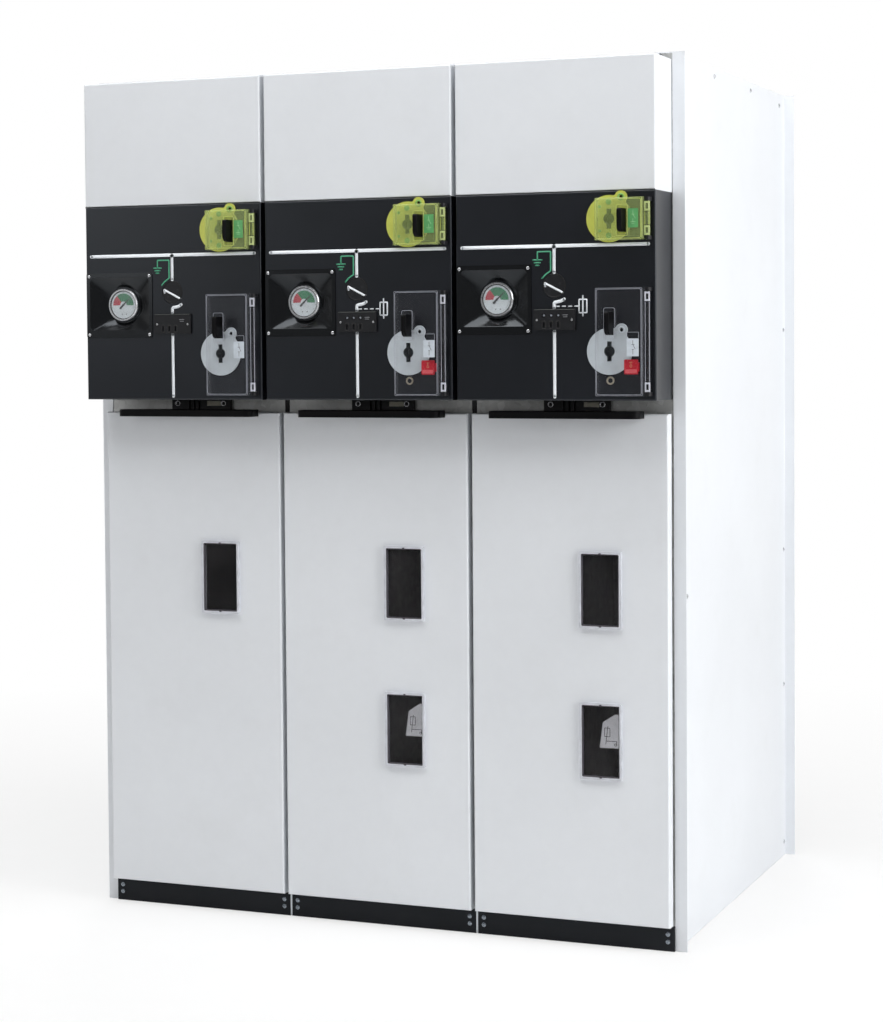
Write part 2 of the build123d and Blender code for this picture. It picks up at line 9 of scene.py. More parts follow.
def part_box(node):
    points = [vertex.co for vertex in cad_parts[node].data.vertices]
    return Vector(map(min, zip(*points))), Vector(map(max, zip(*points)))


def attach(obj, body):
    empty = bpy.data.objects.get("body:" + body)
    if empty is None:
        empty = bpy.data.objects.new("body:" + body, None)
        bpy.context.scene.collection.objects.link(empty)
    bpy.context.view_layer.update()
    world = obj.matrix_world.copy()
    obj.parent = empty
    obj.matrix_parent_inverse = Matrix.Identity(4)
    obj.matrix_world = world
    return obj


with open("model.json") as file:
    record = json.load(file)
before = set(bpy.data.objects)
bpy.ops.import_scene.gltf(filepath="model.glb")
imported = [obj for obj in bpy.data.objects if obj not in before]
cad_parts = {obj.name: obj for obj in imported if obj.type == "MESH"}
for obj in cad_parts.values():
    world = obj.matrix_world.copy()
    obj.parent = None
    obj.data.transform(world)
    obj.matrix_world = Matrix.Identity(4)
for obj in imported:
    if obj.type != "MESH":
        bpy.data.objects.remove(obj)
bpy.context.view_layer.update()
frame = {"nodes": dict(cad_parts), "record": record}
mm = 0.001

# Places that the pieces are measured from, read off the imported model
sideGap = 4 * mm  # each front box stands this far inside its bay
bays = (0, 1, 2)
fuseBays = (1, 2)
bayLeft = [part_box(f"control_panel_{bay + 1}")[0].x - sideGap for bay in bays]
bayWidth = bayLeft[1] - bayLeft[0]
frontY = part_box("end_panel_left")[0].y
print("frame: bay width", round(bayWidth / mm, 1), "mm, front at", round(frontY / mm, 1), "mm")


# Shader maths: a wire is one output socket, and sums on it add Math nodes

class Wire:
    def __init__(self, tree, socket=None):
        self.tree = tree
        self.socket = socket

    def node(self, kind, settings, sockets, output=0):
        made = self.tree.nodes.new(kind)
        for name, value in settings.items():
            if name == "stops":
                paintRamp(made.color_ramp, value)
            else:
                setattr(made, name, value)
        for key, value in sockets.items():
            if isinstance(value, Wire):
                self.tree.links.new(value.socket, made.inputs[key])
            else:
                made.inputs[key].default_value = value
        return Wire(self.tree, made.outputs[output])

    def maths(self, operation, first, second):
        return self.node("ShaderNodeMath", {"operation": operation}, {0: first, 1: second})

    def __add__(self, other):
        return self.maths("ADD", self, other)

    def __radd__(self, other):
        return self.maths("ADD", other, self)

    def __sub__(self, other):
        return self.maths("SUBTRACT", self, other)

    def __rsub__(self, other):
        return self.maths("SUBTRACT", other, self)

    def __mul__(self, other):
        return self.maths("MULTIPLY", self, other)

    def __rmul__(self, other):
        return self.maths("MULTIPLY", other, self)

    def __truediv__(self, other):
        return self.maths("DIVIDE", self, other)


def paintRamp(ramp, stops):
    while len(ramp.elements) < len(stops):
        ramp.elements.new(0.5)
    for element, (place, colour) in zip(ramp.elements, stops):
        element.position = place
        element.color = (*colour, 1) if len(colour) == 3 else colour


def linear(red, green, blue):
    # A colour read off the photo as 0 to 255, turned into Blender's linear values
    parts = [value / 255 for value in (red, green, blue)]
    return tuple(p / 12.92 if p < 0.04045 else ((p + 0.055) / 1.055) ** 2.4 for p in parts)


class Finish:
    # One material: the wires that most finishes start from, and its shader
    def __init__(self, name, **settings):
        self.material = bpy.data.materials.new(name)
        self.material.use_nodes = True
        self.tree = self.material.node_tree
        self.shader = self.tree.nodes["Principled BSDF"]
        self.wire = Wire(self.tree)
        self.place = self.wire.node("ShaderNodeTexCoord", {}, {}, "Object")
        for socket, value in settings.items():
            self.shader.inputs[socket.replace("_", " ")].default_value = value

    def noise(self, scale, detail=2.0, roughness=0.5, stretch=(1, 1, 1)):
        spot = self.place
        if stretch != (1, 1, 1):
            spot = self.wire.node("ShaderNodeMapping", {}, {"Vector": self.place, "Scale": stretch})
        return self.wire.node("ShaderNodeTexNoise", {}, {
            "Vector": spot, "Scale": scale, "Detail": detail, "Roughness": roughness})

    def ramp(self, factor, stops, output="Color"):
        return self.wire.node("ShaderNodeValToRGB", {"stops": stops}, {"Fac": factor}, output)

    def blend(self, factor, first, second):
        # A mix node has several sockets of each name, so its colour ones are found by number
        made = self.tree.nodes.new("ShaderNodeMix")
        made.data_type = "RGBA"
        for number, value in ((0, factor), (6, first), (7, second)):
            if isinstance(value, Wire):
                self.tree.links.new(value.socket, made.inputs[number])
            else:
                made.inputs[number].default_value = (*value, 1)
        return Wire(self.tree, made.outputs[2])

    def bump(self, height, strength, distance):
        bumped = self.wire.node("ShaderNodeBump", {}, {
            "Height": height, "Strength": strength, "Distance": distance})
        self.feed("Normal", bumped)

    def feed(self, socket, value):
        self.tree.links.new(value.socket, self.shader.inputs[socket])


# Finishes

def powderCoat(name, colour, stain, roughness):
    finish = Finish(name, Roughness=roughness, IOR=1.45)
    cloud = finish.noise(3.2, 3.0, 0.55)
    fine = finish.noise(42.0, 2.0, 0.6)
    smudge = finish.ramp(finish.noise(9.0, 4.0, 0.6), [(0.56, (0, 0, 0)), (0.74, (1, 1, 1))])
    tone = finish.ramp(cloud * 0.75 + fine * 0.25, [
        (0.3, tuple(c * 0.965 for c in colour)), (0.7, tuple(min(1, c * 1.02) for c in colour))])
    finish.feed("Base Color", finish.blend(smudge * 0.07, tone, stain))
    finish.feed("Roughness", fine * 0.14 + (roughness - 0.07))
    finish.bump(finish.noise(620.0, 1.0) * 0.7 + finish.noise(150.0, 1.0) * 0.3, 0.16, 0.0004)
    return finish.material


def zincSheet():
    finish = Finish("zincSheet", Metallic=0.8, Roughness=0.42)
    spangle = finish.wire.node("ShaderNodeTexVoronoi", {}, {"Vector": finish.place, "Scale": 90.0}, "Color")
    grey = finish.wire.node("ShaderNodeRGBToBW", {}, {0: spangle})
    rolled = finish.noise(40.0, 3.0, 0.6, (1, 1, 0.08))
    finish.feed("Base Color", finish.ramp(grey * 0.5 + rolled * 0.5, [
        (0.2, linear(166, 167, 166)), (0.8, linear(204, 205, 204))]))
    finish.feed("Roughness", grey * 0.16 + rolled * 0.14 + 0.28)
    finish.bump(rolled, 0.1, 0.0003)
    return finish.material


def mouldedPlastic(name, colour, roughness, grain=0.12, gloss=0.35):
    finish = Finish(name, Roughness=roughness, IOR=1.45)
    finish.shader.inputs["Specular IOR Level"].default_value = gloss
    mottle = finish.noise(60.0, 2.0, 0.5)
    finish.feed("Base Color", finish.ramp(mottle, [
        (0.3, tuple(c * 0.88 for c in colour)), (0.7, tuple(min(1, c * 1.1) for c in colour))]))
    finish.feed("Roughness", mottle * 0.16 + (roughness - 0.08))
    finish.bump(finish.noise(1500.0, 1.0), grain, 0.0002)
    return finish.material


def rubber():
    finish = Finish("blackRubber", Roughness=0.8)
    bloom = finish.noise(25.0, 3.0, 0.6, (1, 1, 0.3))
    finish.feed("Base Color", finish.ramp(bloom, [(0.3, linear(22, 22, 23)), (0.75, linear(44, 44, 45))]))
    finish.feed("Roughness", bloom * 0.2 + 0.65)
    finish.bump(bloom, 0.2, 0.0005)
    return finish.material


def panelPaint(name, gloss, roughness, low, high):
    finish = Finish(name, Roughness=roughness)
    finish.shader.inputs["Specular IOR Level"].default_value = gloss
    finish.shader.inputs["Specular Tint"].default_value = (0.86, 0.93, 1.0, 1)
    cloud = finish.noise(5.0, 3.0, 0.6)
    speck = finish.noise(900.0, 1.0, 0.5)
    finish.feed("Base Color", finish.ramp(cloud * 0.8 + speck * 0.2, [(0.3, low), (0.7, high)]))
    finish.feed("Roughness", cloud * 0.12 + (roughness - 0.08))
    finish.bump(speck, 0.14, 0.0002)
    return finish.material


def tintedPlastic(name, colour, edgeColour, alpha, edgeAlpha, roughness):
    # Edges and skirts of a clear moulding gather light, so they show more than its face
    finish = Finish(name, Roughness=roughness, IOR=1.49)
    rim = finish.wire.node("ShaderNodeLayerWeight", {}, {"Blend": 0.35}, "Facing")
    haze = finish.noise(30.0, 3.0, 0.6)
    finish.feed("Base Color", finish.blend(rim, colour, edgeColour))
    finish.feed("Alpha", rim * (edgeAlpha - alpha) + haze * (alpha * 0.4) + alpha * 0.8)
    finish.feed("Roughness", haze * 0.1 + (roughness - 0.05))
    finish.bump(finish.noise(160.0, 2.0), 0.05, 0.0003)
    return finish.material


def windowGlass():
    finish = Finish("windowGlass", Roughness=0.06, IOR=1.5)
    film = finish.noise(14.0, 3.0, 0.55)
    finish.feed("Base Color", finish.ramp(film, [(0.3, linear(62, 60, 62)), (0.7, linear(84, 82, 84))]))
    finish.feed("Alpha", film * 0.16 + 0.06)
    finish.feed("Roughness", film * 0.08 + 0.03)
    return finish.material


def brightMetal(name, colour, roughness):
    finish = Finish(name, Metallic=1.0, Roughness=roughness)
    brushed = finish.noise(260.0, 2.0, 0.6, (1, 1, 6))
    finish.feed("Base Color", finish.ramp(brushed, [
        (0.3, tuple(c * 0.88 for c in colour)), (0.7, colour)]))
    finish.feed("Roughness", brushed * 0.14 + (roughness - 0.07))
    finish.bump(brushed, 0.06, 0.0002)
    return finish.material


white = linear(228, 231, 235)
finishes = {
    "white_paint": powderCoat("whitePaint", white, linear(198, 198, 196), 0.42),
    "zinc_steel": zincSheet(),
    "black_rubber": rubber(),
    "black_paint": panelPaint("panelPaint", 0.46, 0.33, linear(10, 11, 15), linear(17, 18, 24)),
    "black_plastic": mouldedPlastic("blackPlastic", linear(24, 25, 28), 0.42),
    "grey_plastic": mouldedPlastic("framePlastic", linear(205, 207, 214), 0.38),
    "gauge_metal": brightMetal("gaugeMetal", linear(205, 207, 210), 0.28),
    "yellow_plastic": tintedPlastic(
        "yellowPlastic", linear(180, 200, 126), linear(206, 216, 140), 0.22, 0.46, 0.2),
    "yellow_disc_plastic": tintedPlastic(
        "yellowDiscPlastic", linear(206, 211, 98), linear(214, 220, 116), 0.96, 1.0, 0.3),
    "clear_plastic": tintedPlastic(
        "clearPlastic", linear(170, 172, 182), linear(206, 208, 216), 0.01, 0.09, 0.12),
    "frosted_plastic": tintedPlastic(
        "frostedPlastic", linear(190, 198, 204), linear(206, 212, 218), 0.96, 1.0, 0.4),
    "red_plastic": mouldedPlastic("redPlastic", linear(186, 34, 48), 0.34, 0.05),
    "window_glass": windowGlass(),
}
slotOf = {part["node"]: part["material_slot"] for part in frame["record"]["subparts"]}
for name, node in frame["nodes"].items():
    node.data.materials.clear()
    node.data.materials.append(finishes[slotOf[name]])
print("finishes:", len(finishes), "on", len(frame["nodes"]), "nodes")


# Flat shapes, drawn in millimetres as seen from the front: x from a bay's left edge, z up from the floor,
# and y back from the front plane, so what stands in front of that plane has a negative y

def circle(x, z, radius, count=32, start=0.0, turn=360.0):
    steps = count if turn == 360.0 else count + 1
    angles = [math.radians(start + turn * step / count) for step in range(steps)]
    return [(x + radius * math.cos(angle), z + radius * math.sin(angle)) for angle in angles]


def sector(x, z, inner, outer, start, turn):
    arc = circle(x, z, outer, 16, start, turn)
    return arc + circle(x, z, inner, 16, start, turn)[::-1]


def panel(left, low, right, high, radius=0.0, steps=5):
    if radius <= 0:
        return [(left, low), (right, low), (right, high), (left, high)]
    middles = [(right - radius, low + radius, -90), (right - radius, high - radius, 0),
               (left + radius, high - radius, 90), (left + radius, low + radius, 180)]
    return [spot for x, z, start in middles for spot in circle(x, z, radius, steps, start, 90.0)]


def linked(name, mesh):
    made = bpy.data.objects.new(name, mesh)
    bpy.context.scene.collection.objects.link(made)
    return made


def settled(piece, body):
    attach(piece, body)
    return piece


class Moulding:
    # Flat shapes of one bay, each given its thickness, gathered into one mesh
    def __init__(self, bay):
        self.bay = bay
        self.form = bmesh.new()

    def loop(self, outline, y):
        left = bayLeft[self.bay]
        return [self.form.verts.new((left + x * mm, frontY + y * mm, z * mm)) for x, z in outline]

    def skin(self, first, second):
        count = len(first)
        for here in range(count):
            there = (here + 1) % count
            self.form.faces.new((first[here], first[there], second[there], second[here]))

    def slab(self, outline, back, front, soften=0.0):
        rear = self.loop(outline, back)
        face = self.loop(outline, front)
        top = self.form.faces.new(face)
        self.form.faces.new(rear[::-1])
        self.skin(rear, face)
        if soften:
            bmesh.ops.bevel(self.form, geom=list(top.edges), offset=soften * mm, segments=2, profile=0.5,
                            affect="EDGES", clamp_overlap=True)

    def ring(self, outer, inner, back, front, innerFront=None):
        deep = front if innerFront is None else innerFront
        loops = [self.loop(outer, back), self.loop(outer, front),
                 self.loop(inner, deep), self.loop(inner, back)]
        for first, second in zip(loops, loops[1:] + loops[:1]):
            self.skin(first, second)

    # A layer is a slab's back, front and rounding, or a ring's back, front and front at its inner edge
    def hoop(self, x, z, outer, inner, back, front, corners, innerFront=None):
        self.ring(circle(x, z, outer, corners), circle(x, z, inner, corners), back, front, innerFront)

    def done(self, name, material, body, smooth=False):
        mesh = bpy.data.meshes.new(name)
        self.form.to_mesh(mesh)
        self.form.free()
        mesh.materials.append(material)
        mesh.polygons.foreach_set("use_smooth", [smooth] * len(mesh.polygons))
        return settled(linked(name, mesh), body)


# Geometry Nodes: one tree for every printed or raised line, and one for every screw

def startTree(name, inputs):
    tree = bpy.data.node_groups.new(name, "GeometryNodeTree")
    tree.interface.new_socket("Geometry", in_out="INPUT", socket_type="NodeSocketGeometry")
    for label, kind in inputs.items():
        tree.interface.new_socket(label, in_out="INPUT", socket_type="NodeSocket" + kind)
    tree.interface.new_socket("Geometry", in_out="OUTPUT", socket_type="NodeSocketGeometry")
    start = tree.nodes.new("NodeGroupInput")
    wires = {socket.name: Wire(tree, socket) for socket in start.outputs if socket.name}
    return tree, Wire(tree), wires


def endTree(tree, wire, shape, material):
    real = wire.node("GeometryNodeRealizeInstances", {}, {0: shape})
    painted = wire.node("GeometryNodeSetMaterial", {}, {"Geometry": real, "Material": material})
    end = tree.nodes.new("NodeGroupOutput")
    tree.links.new(painted.socket, end.inputs[0])


def lineTree():
    # Edges drawn flat become rounded-corner ribbons with round ends, stood up to face the front
    tree, wire, wires = startTree("printedLines", {
        "Width": "Float", "Thickness": "Float", "Corner": "Float", "Front": "Float", "Material": "Material"})
    path = wire.node("GeometryNodeMeshToCurve", {}, {"Mesh": wires["Geometry"]})
    bent = wire.node("GeometryNodeFilletCurve", {"mode": "POLY"}, {
        "Curve": path, "Count": 5, "Radius": wires["Corner"], "Limit Radius": True})
    level = wire.node("GeometryNodeSetCurveNormal", {"mode": "Z_UP"}, {"Curve": bent})
    across = wire.node("GeometryNodeCurvePrimitiveQuadrilateral", {}, {
        "Width": wires["Width"], "Height": wires["Thickness"]})
    ribbon = wire.node("GeometryNodeCurveToMesh", {}, {
        "Curve": level, "Profile Curve": across, "Fill Caps": True})
    cap = wire.node("GeometryNodeMeshCylinder", {}, {
        "Vertices": 16, "Radius": wires["Width"] * 0.5, "Depth": wires["Thickness"]})
    tips = wire.node("GeometryNodeCurveEndpointSelection", {}, {})
    caps = wire.node("GeometryNodeInstanceOnPoints", {}, {"Points": bent, "Selection": tips, "Instance": cap})
    both = tree.nodes.new("GeometryNodeJoinGeometry")
    for part in (ribbon, caps):
        tree.links.new(part.socket, both.inputs[0])
    shift = wire.node("ShaderNodeCombineXYZ", {}, {"Y": wires["Front"]})
    stood = wire.node("GeometryNodeTransform", {}, {
        "Geometry": Wire(tree, both.outputs[0]), "Translation": shift, "Rotation": (math.pi / 2, 0, 0)})
    endTree(tree, wire, stood, wires["Material"])
    return tree


def screwTree():
    # A head on every point, each turned by a chance amount, all facing one way
    tree, wire, wires = startTree("screwHeads", {
        "Head": "Object", "Facing": "Rotation", "Size": "Float", "Rise": "Float", "Seed": "Int",
        "Material": "Material"})
    head = wire.node("GeometryNodeObjectInfo", {}, {"Object": wires["Head"]}, "Geometry")
    heads = wire.node("GeometryNodeInstanceOnPoints", {}, {
        "Points": wires["Geometry"], "Instance": head, "Rotation": wires["Facing"]})
    spin = wire.node("FunctionNodeRandomValue", {"data_type": "FLOAT"}, {
        2: 0.0, 3: math.pi, 8: wires["Seed"]}, 1)
    turn = wire.node("ShaderNodeCombineXYZ", {}, {"Z": spin})
    spun = wire.node("GeometryNodeRotateInstances", {}, {
        "Instances": heads, "Rotation": turn, "Local Space": True})
    scale = wire.node("ShaderNodeCombineXYZ", {}, {
        "X": wires["Size"], "Y": wires["Size"], "Z": wires["Size"] * wires["Rise"]})
    sized = wire.node("GeometryNodeScaleInstances", {}, {"Instances": spun, "Scale": scale})
    endTree(tree, wire, sized, wires["Material"])
    return tree


def grown(name, points, edges, tree, values, body):
    drawing = bpy.data.meshes.new(name)
    drawing.from_pydata(points, edges, [])
    maker = linked(name + "Drawing", drawing)
    modifier = maker.modifiers.new("grow", "NODES")
    modifier.node_group = tree
    for item in tree.interface.items_tree:
        if item.in_out == "INPUT" and item.name in values:
            modifier[item.identifier] = values[item.name]
    bpy.context.view_layer.update()
    mesh = bpy.data.meshes.new_from_object(maker.evaluated_get(bpy.context.evaluated_depsgraph_get()))
    mesh.name = name
    bpy.data.objects.remove(maker)
    return settled(linked(name, mesh), body)


lineWork = lineTree()
screwWork = screwTree()


def drawLines(name, bay, strokes, width, front, material, body, thickness=0.3, corner=0.0):
    # Each stroke is a list of (x, z); one that ends where it starts is closed
    points, edges = [], []
    for stroke in strokes:
        closed = stroke[0] == stroke[-1]
        spots = stroke[:-1] if closed else stroke
        first = len(points)
        points += [(bayLeft[bay] + x * mm, z * mm, 0.0) for x, z in spots]
        edges += [(first + step, first + step + 1) for step in range(len(spots) - 1)]
        if closed:
            edges.append((len(points) - 1, first))
    values = {"Width": width * mm, "Thickness": thickness * mm, "Corner": corner * mm,
              "Front": frontY + front * mm, "Material": material}
    return grown(name, points, edges, lineWork, values, body)


def loopOf(outline):
    return outline + outline[:1]


screwShape = {
    "profile": [(1.0, 0.0), (1.0, 0.16), (0.93, 0.3), (0.74, 0.43), (0.42, 0.52)],  # radius and height
    "top": 0.55, "sides": 20,
    "slotLength": 1.1, "slotWidth": 0.2, "slotHeight": 0.7, "slotMiddle": 0.6,
}


def screwHead():
    # A pan head of unit radius with a cross recess, its flat back at z = 0
    sides = screwShape["sides"]
    form = bmesh.new()
    rings = []
    for radius, height in screwShape["profile"]:
        rings.append([form.verts.new((radius * math.cos(a), radius * math.sin(a), height))
                      for a in (math.tau * step / sides for step in range(sides))])
    tip = form.verts.new((0, 0, screwShape["top"]))
    for lower, upper in zip(rings, rings[1:]):
        for here in range(sides):
            there = (here + 1) % sides
            form.faces.new((lower[here], lower[there], upper[there], upper[here]))
    for here in range(sides):
        form.faces.new((rings[-1][here], rings[-1][(here + 1) % sides], tip))
    form.faces.new(rings[0][::-1])
    mesh = bpy.data.meshes.new("screwHead")
    form.to_mesh(mesh)
    form.free()
    head = linked("screwHead", mesh)
    for turn in (0, 1):
        bar = bmesh.new()
        bmesh.ops.create_cube(bar, size=1.0)
        size = (screwShape["slotLength"], screwShape["slotWidth"])
        across, along = size if turn == 0 else size[::-1]
        bmesh.ops.scale(bar, vec=(across, along, screwShape["slotHeight"]), verts=bar.verts)
        bmesh.ops.translate(bar, vec=(0, 0, screwShape["slotMiddle"]), verts=bar.verts)
        cutMesh = bpy.data.meshes.new("recess")
        bar.to_mesh(cutMesh)
        bar.free()
        cutter = linked(f"recess{turn}", cutMesh)
        cut = head.modifiers.new(f"recess{turn}", "BOOLEAN")
        cut.operation = "DIFFERENCE"
        cut.solver = "EXACT"
        cut.object = cutter
    bpy.context.view_layer.update()
    cutHead = bpy.data.meshes.new_from_object(head.evaluated_get(bpy.context.evaluated_depsgraph_get()))
    head.modifiers.clear()
    head.data = cutHead
    for turn in (0, 1):
        bpy.data.objects.remove(bpy.data.objects[f"recess{turn}"])
    return head


headTemplate = screwHead()
facings = {
    "front": (math.pi / 2, 0, 0),
    "rear": (-math.pi / 2, 0, 0),
    "right": (0, math.pi / 2, 0),
    "left": (0, -math.pi / 2, 0),
    "top": (0, 0, 0),
}


def screws(name, places, facing, radius, seed, material, body="root", slot="zinc_steel", rise=1.0):
    # Places are in the row frame, in metres; a small rise makes a head that is let in flush
    values = {"Head": headTemplate, "Facing": facings[facing], "Size": radius * mm, "Rise": rise,
              "Seed": seed, "Material": material}
    return grown(name, places, [], screwWork, values, body)


def inBay(bay, x, y, z):
    return (bayLeft[bay] + x * mm, frontY + y * mm, z * mm)


# Finishes that only the added pieces use

# Flat colours for print, and also for painted shade, painted highlights and a painted glow
def inkOrPaintedLight(name, colour, roughness=0.5, wear=0.14, glow=0.0):
    finish = Finish(name, Roughness=roughness, IOR=1.45)
    # a glow is painted light: a constant emission on a surface that is no lamp
    if glow:
        finish.shader.inputs["Emission Color"].default_value = (0.8, 0.8, 0.85, 1)
        finish.shader.inputs["Emission Strength"].default_value = glow
    worn = finish.noise(110.0, 3.0, 0.6)
    finish.feed("Base Color", finish.ramp(worn, [
        (0.28, tuple(c * (1 - wear) for c in colour)), (0.62, colour)]))
    finish.feed("Roughness", worn * 0.2 + (roughness - 0.1))
    finish.bump(worn, 0.08, 0.0001)
    return finish.material


# Red, green and blue as in the photo, roughness, and at times wear and glow; some are painted shade, painted
# highlights or a painted glow, as marked below
inkAndPaintedLightLooks = {
    "whiteInk": (240, 245, 250, 0.5, 0.04),
    "greenInk": (78, 168, 130, 0.5),
    "darkInk": (30, 31, 35, 0.5),
    "greyInk": (120, 122, 126, 0.5),
    # painted highlight: a light line along the voltage block's top edge
    "blockEdgeHighlight": (84, 88, 86, 0.5),
    "socketRim": (50, 49, 46, 0.3),
    "socketOlive": (96, 106, 58, 0.4),
    "socketGrey": (88, 96, 98, 0.4),
    "bossGreen": (134, 188, 104, 0.3),
    "bossClear": (196, 203, 210, 0.3),
    # painted shade: near black for the shaded gap under each top cover and round the position indicator's
    # disc
    "paintedGapShade": (12, 12, 14, 0.5),
    # painted highlight: a light line along the black panel's top bend
    "paintedBendHighlight": (92, 94, 100, 0.3),
    "dialWhite": (214, 222, 226, 0.4),
    "dialRed": (176, 44, 58, 0.4),
    "dialGreen": (30, 122, 78, 0.4),
    "labelGreen": (96, 168, 104, 0.35),
    "labelPale": (206, 214, 222, 0.35),
    "paleGreen": (168, 214, 160, 0.35),
    # the label plates' grey with a small painted glow, standing in for light bounced inside the bays
    "plateGlow": (240, 241, 246, 0.45, 0.14, 0.16),
    "paleRed": (214, 92, 98, 0.3),
    "warmInk": (214, 150, 110, 0.3),
    # painted highlights: light lines along the flaps' moulded edges, cup rims and hinge ribs
    "highlightClear": (176, 179, 190, 0.2),
    "highlightYellow": (206, 216, 120, 0.2),
    "clipClear": (214, 216, 226, 0.22),
    "clipYellow": (196, 208, 146, 0.22),
    "frostRing": (150, 142, 126, 0.3),
    "gasketRubber": (62, 58, 66, 0.6),
    "gapShadow": (14, 14, 16, 0.7),
    "lampLens": (150, 156, 166, 0.2),
}
inksAndPaintedLight = {name: inkOrPaintedLight(name, linear(*look[:3]), *look[3:]) for name, look in inkAndPaintedLightLooks.items()}
brightScrew = brightMetal("brightScrew", linear(218, 219, 222), 0.22)
gripBlack = mouldedPlastic("gripBlack", linear(8, 8, 10), 0.45, 0.03, 0.14)
funnelBlack = panelPaint("funnelBlack", 0.44, 0.19, linear(4, 4, 5), linear(8, 8, 9))
plinthPaint = panelPaint("plinthPaint", 0.2, 0.5, linear(20, 21, 24), linear(30, 31, 34))
zincScrew = brightMetal("zincScrew", linear(186, 188, 190), 0.34)
plinthScrew = brightMetal("plinthScrew", linear(150, 158, 166), 0.26)
labelMetal = inkOrPaintedLight("labelMetal", linear(190, 187, 172), 0.35)
railMetal = brightMetal("railMetal", linear(196, 200, 204), 0.36)
gaugeGlass = tintedPlastic("gaugeGlass", linear(225, 228, 232), linear(240, 242, 246), 0.05, 0.3, 0.05)


# The printed mimic diagram

mimic = {
    "face": -100.1,
    "busZ": 1247.5, "busLeft": 16.0, "busRight": 358.0, "busWidth": 6.0, "busCorner": 2.0,
    "notchDip": 1.3, "notchNear": 0.6, "notchFar": 3.4,  # the bus has a notch where the drop joins it
    "dropX": 187.5, "dropTop": 1245.5, "dropEnd": 1201.6, "dropWidth": 5.5, "dropCorner": 3.0,
    "feedTop": 1100.0, "feedEnd": 984.5,
    "contact": [(187.2, 1138.6), (187.2, 1149.5), (193.0, 1150.2), (199.6, 1151.6), (205.6, 1154.9)],
    "earthWidth": 2.4, "earthCorner": 1.2,
    "earth": [
        [(156.7, 1224.0), (156.7, 1238.0), (181.0, 1238.0), (181.0, 1204.5), (172.0, 1198.6),
         (165.2, 1191.6)],
        [(148.9, 1223.7), (164.9, 1223.7)],
        [(151.4, 1218.9), (161.8, 1218.9)],
        [(154.0, 1214.3), (159.2, 1214.3)],
    ],
    "fuseZ": 1142.3, "fuseWidth": 2.2, "fuseCorner": 0.8,
    "dashes": ((191.0, 196.4), (202.4, 207.8), (213.8, 219.2), (225.2, 232.0)),
    "fuseBox": (232.6, 1130.9, 246.8, 1154.0), "fuseBar": [(239.6, 1125.6), (239.6, 1160.2)],
}


def addMimic(bay):
    name, face, ink = str(bay + 1), mimic["face"], inksAndPaintedLight["whiteInk"]
    dropX, busZ = mimic["dropX"], mimic["busZ"]
    near, far, dip = mimic["notchNear"], mimic["notchFar"], busZ - mimic["notchDip"]
    bus = [[(mimic["busLeft"], busZ), (dropX - far, busZ), (dropX - near, dip)],
           [(dropX + near, dip), (dropX + far, busZ), (mimic["busRight"], busZ)]]
    drawLines("mimicBus" + name, bay, bus, mimic["busWidth"], face, ink, "root",
              corner=mimic["busCorner"])
    drops = [[(dropX, mimic["dropTop"]), (dropX, mimic["dropEnd"])],
             [(dropX, mimic["feedTop"]), (dropX, mimic["feedEnd"])], mimic["contact"]]
    drawLines("mimicDrops" + name, bay, drops, mimic["dropWidth"], face, ink, "root",
              corner=mimic["dropCorner"])
    drawLines("mimicEarth" + name, bay, mimic["earth"], mimic["earthWidth"], face, inksAndPaintedLight["greenInk"], "root",
              corner=mimic["earthCorner"])
    if bay in fuseBays:
        dashes = [[(start, mimic["fuseZ"]), (end, mimic["fuseZ"])] for start, end in mimic["dashes"]]
        fuse = [loopOf(panel(*mimic["fuseBox"])), mimic["fuseBar"]]
        drawLines("mimicFuse" + name, bay, dashes + fuse, mimic["fuseWidth"], face, ink, "root",
                  corner=mimic["fuseCorner"])


# The position indicator's bar, a rim of painted shade round it, and two small marks

indicator = {
    "x": 187.5, "z": 1178.5,
    "bar": [(170.8, 1177.6), (169.8, 1183.4), (204.2, 1165.6)],
    "barFace": -99.5, "barWidth": 3.6, "barCorner": 0.6,
    "rim": (20.9, 19.3, -99.2, -99.75, 64),  # outer and inner radius, back, front and corners of a ring of painted shade in the gap round the disc
    "dots": ((197.7, 1181.8), (178.0, 1169.3)), "dot": (2.4, 1.3, -99.3, -99.55, 16),
}


def addIndicatorParts(bay):
    name, body = str(bay + 1), f"position_indicator_{bay + 1}"
    drawLines("indicatorBar" + name, bay, [indicator["bar"]], indicator["barWidth"], indicator["barFace"],
              inksAndPaintedLight["whiteInk"], body, corner=indicator["barCorner"])
    # a near black ring of painted shade in the gap round the disc
    rim = Moulding(bay)
    rim.hoop(indicator["x"], indicator["z"], *indicator["rim"])
    rim.done("indicatorRim" + name, inksAndPaintedLight["paintedGapShade"], body, True)
    dots = Moulding(bay)
    for x, z in indicator["dots"]:
        dots.hoop(x, z, *indicator["dot"])
    dots.done("indicatorDots" + name, inksAndPaintedLight["darkInk"], body)


# The voltage block's top edge with a painted highlight, marks, screws, socket rims and lamps

voltage = {
    "face": -104.0,
    # the edge line is a painted highlight along the block's top edge
    "edge": [(152.0, 1136.9), (225.0, 1136.9)], "edgeWidth": 0.8, "edgeThickness": 0.4,
    "marks": [[(204.0, 1127.2), (213.4, 1127.2)], [(205.0, 1124.0), (212.4, 1124.0)]], "markWidth": 1.3,
    "screwX": (156.5, 220.6), "screwZ": 1118.6, "screwRadius": 1.9, "screwSeed": 11,
    "columns": (169.3, 182.4, 195.5),  # each has a lamp over a socket
    "lampZ": 1126.6, "lampRadius": 1.9, "lampLayer": (-101.5, -103.6, 0.8),
    "socketX": 3.6, "socketLow": 1103.9, "socketHigh": 1117.1, "socketCorner": 2.5, "rimWidth": 0.5,
}


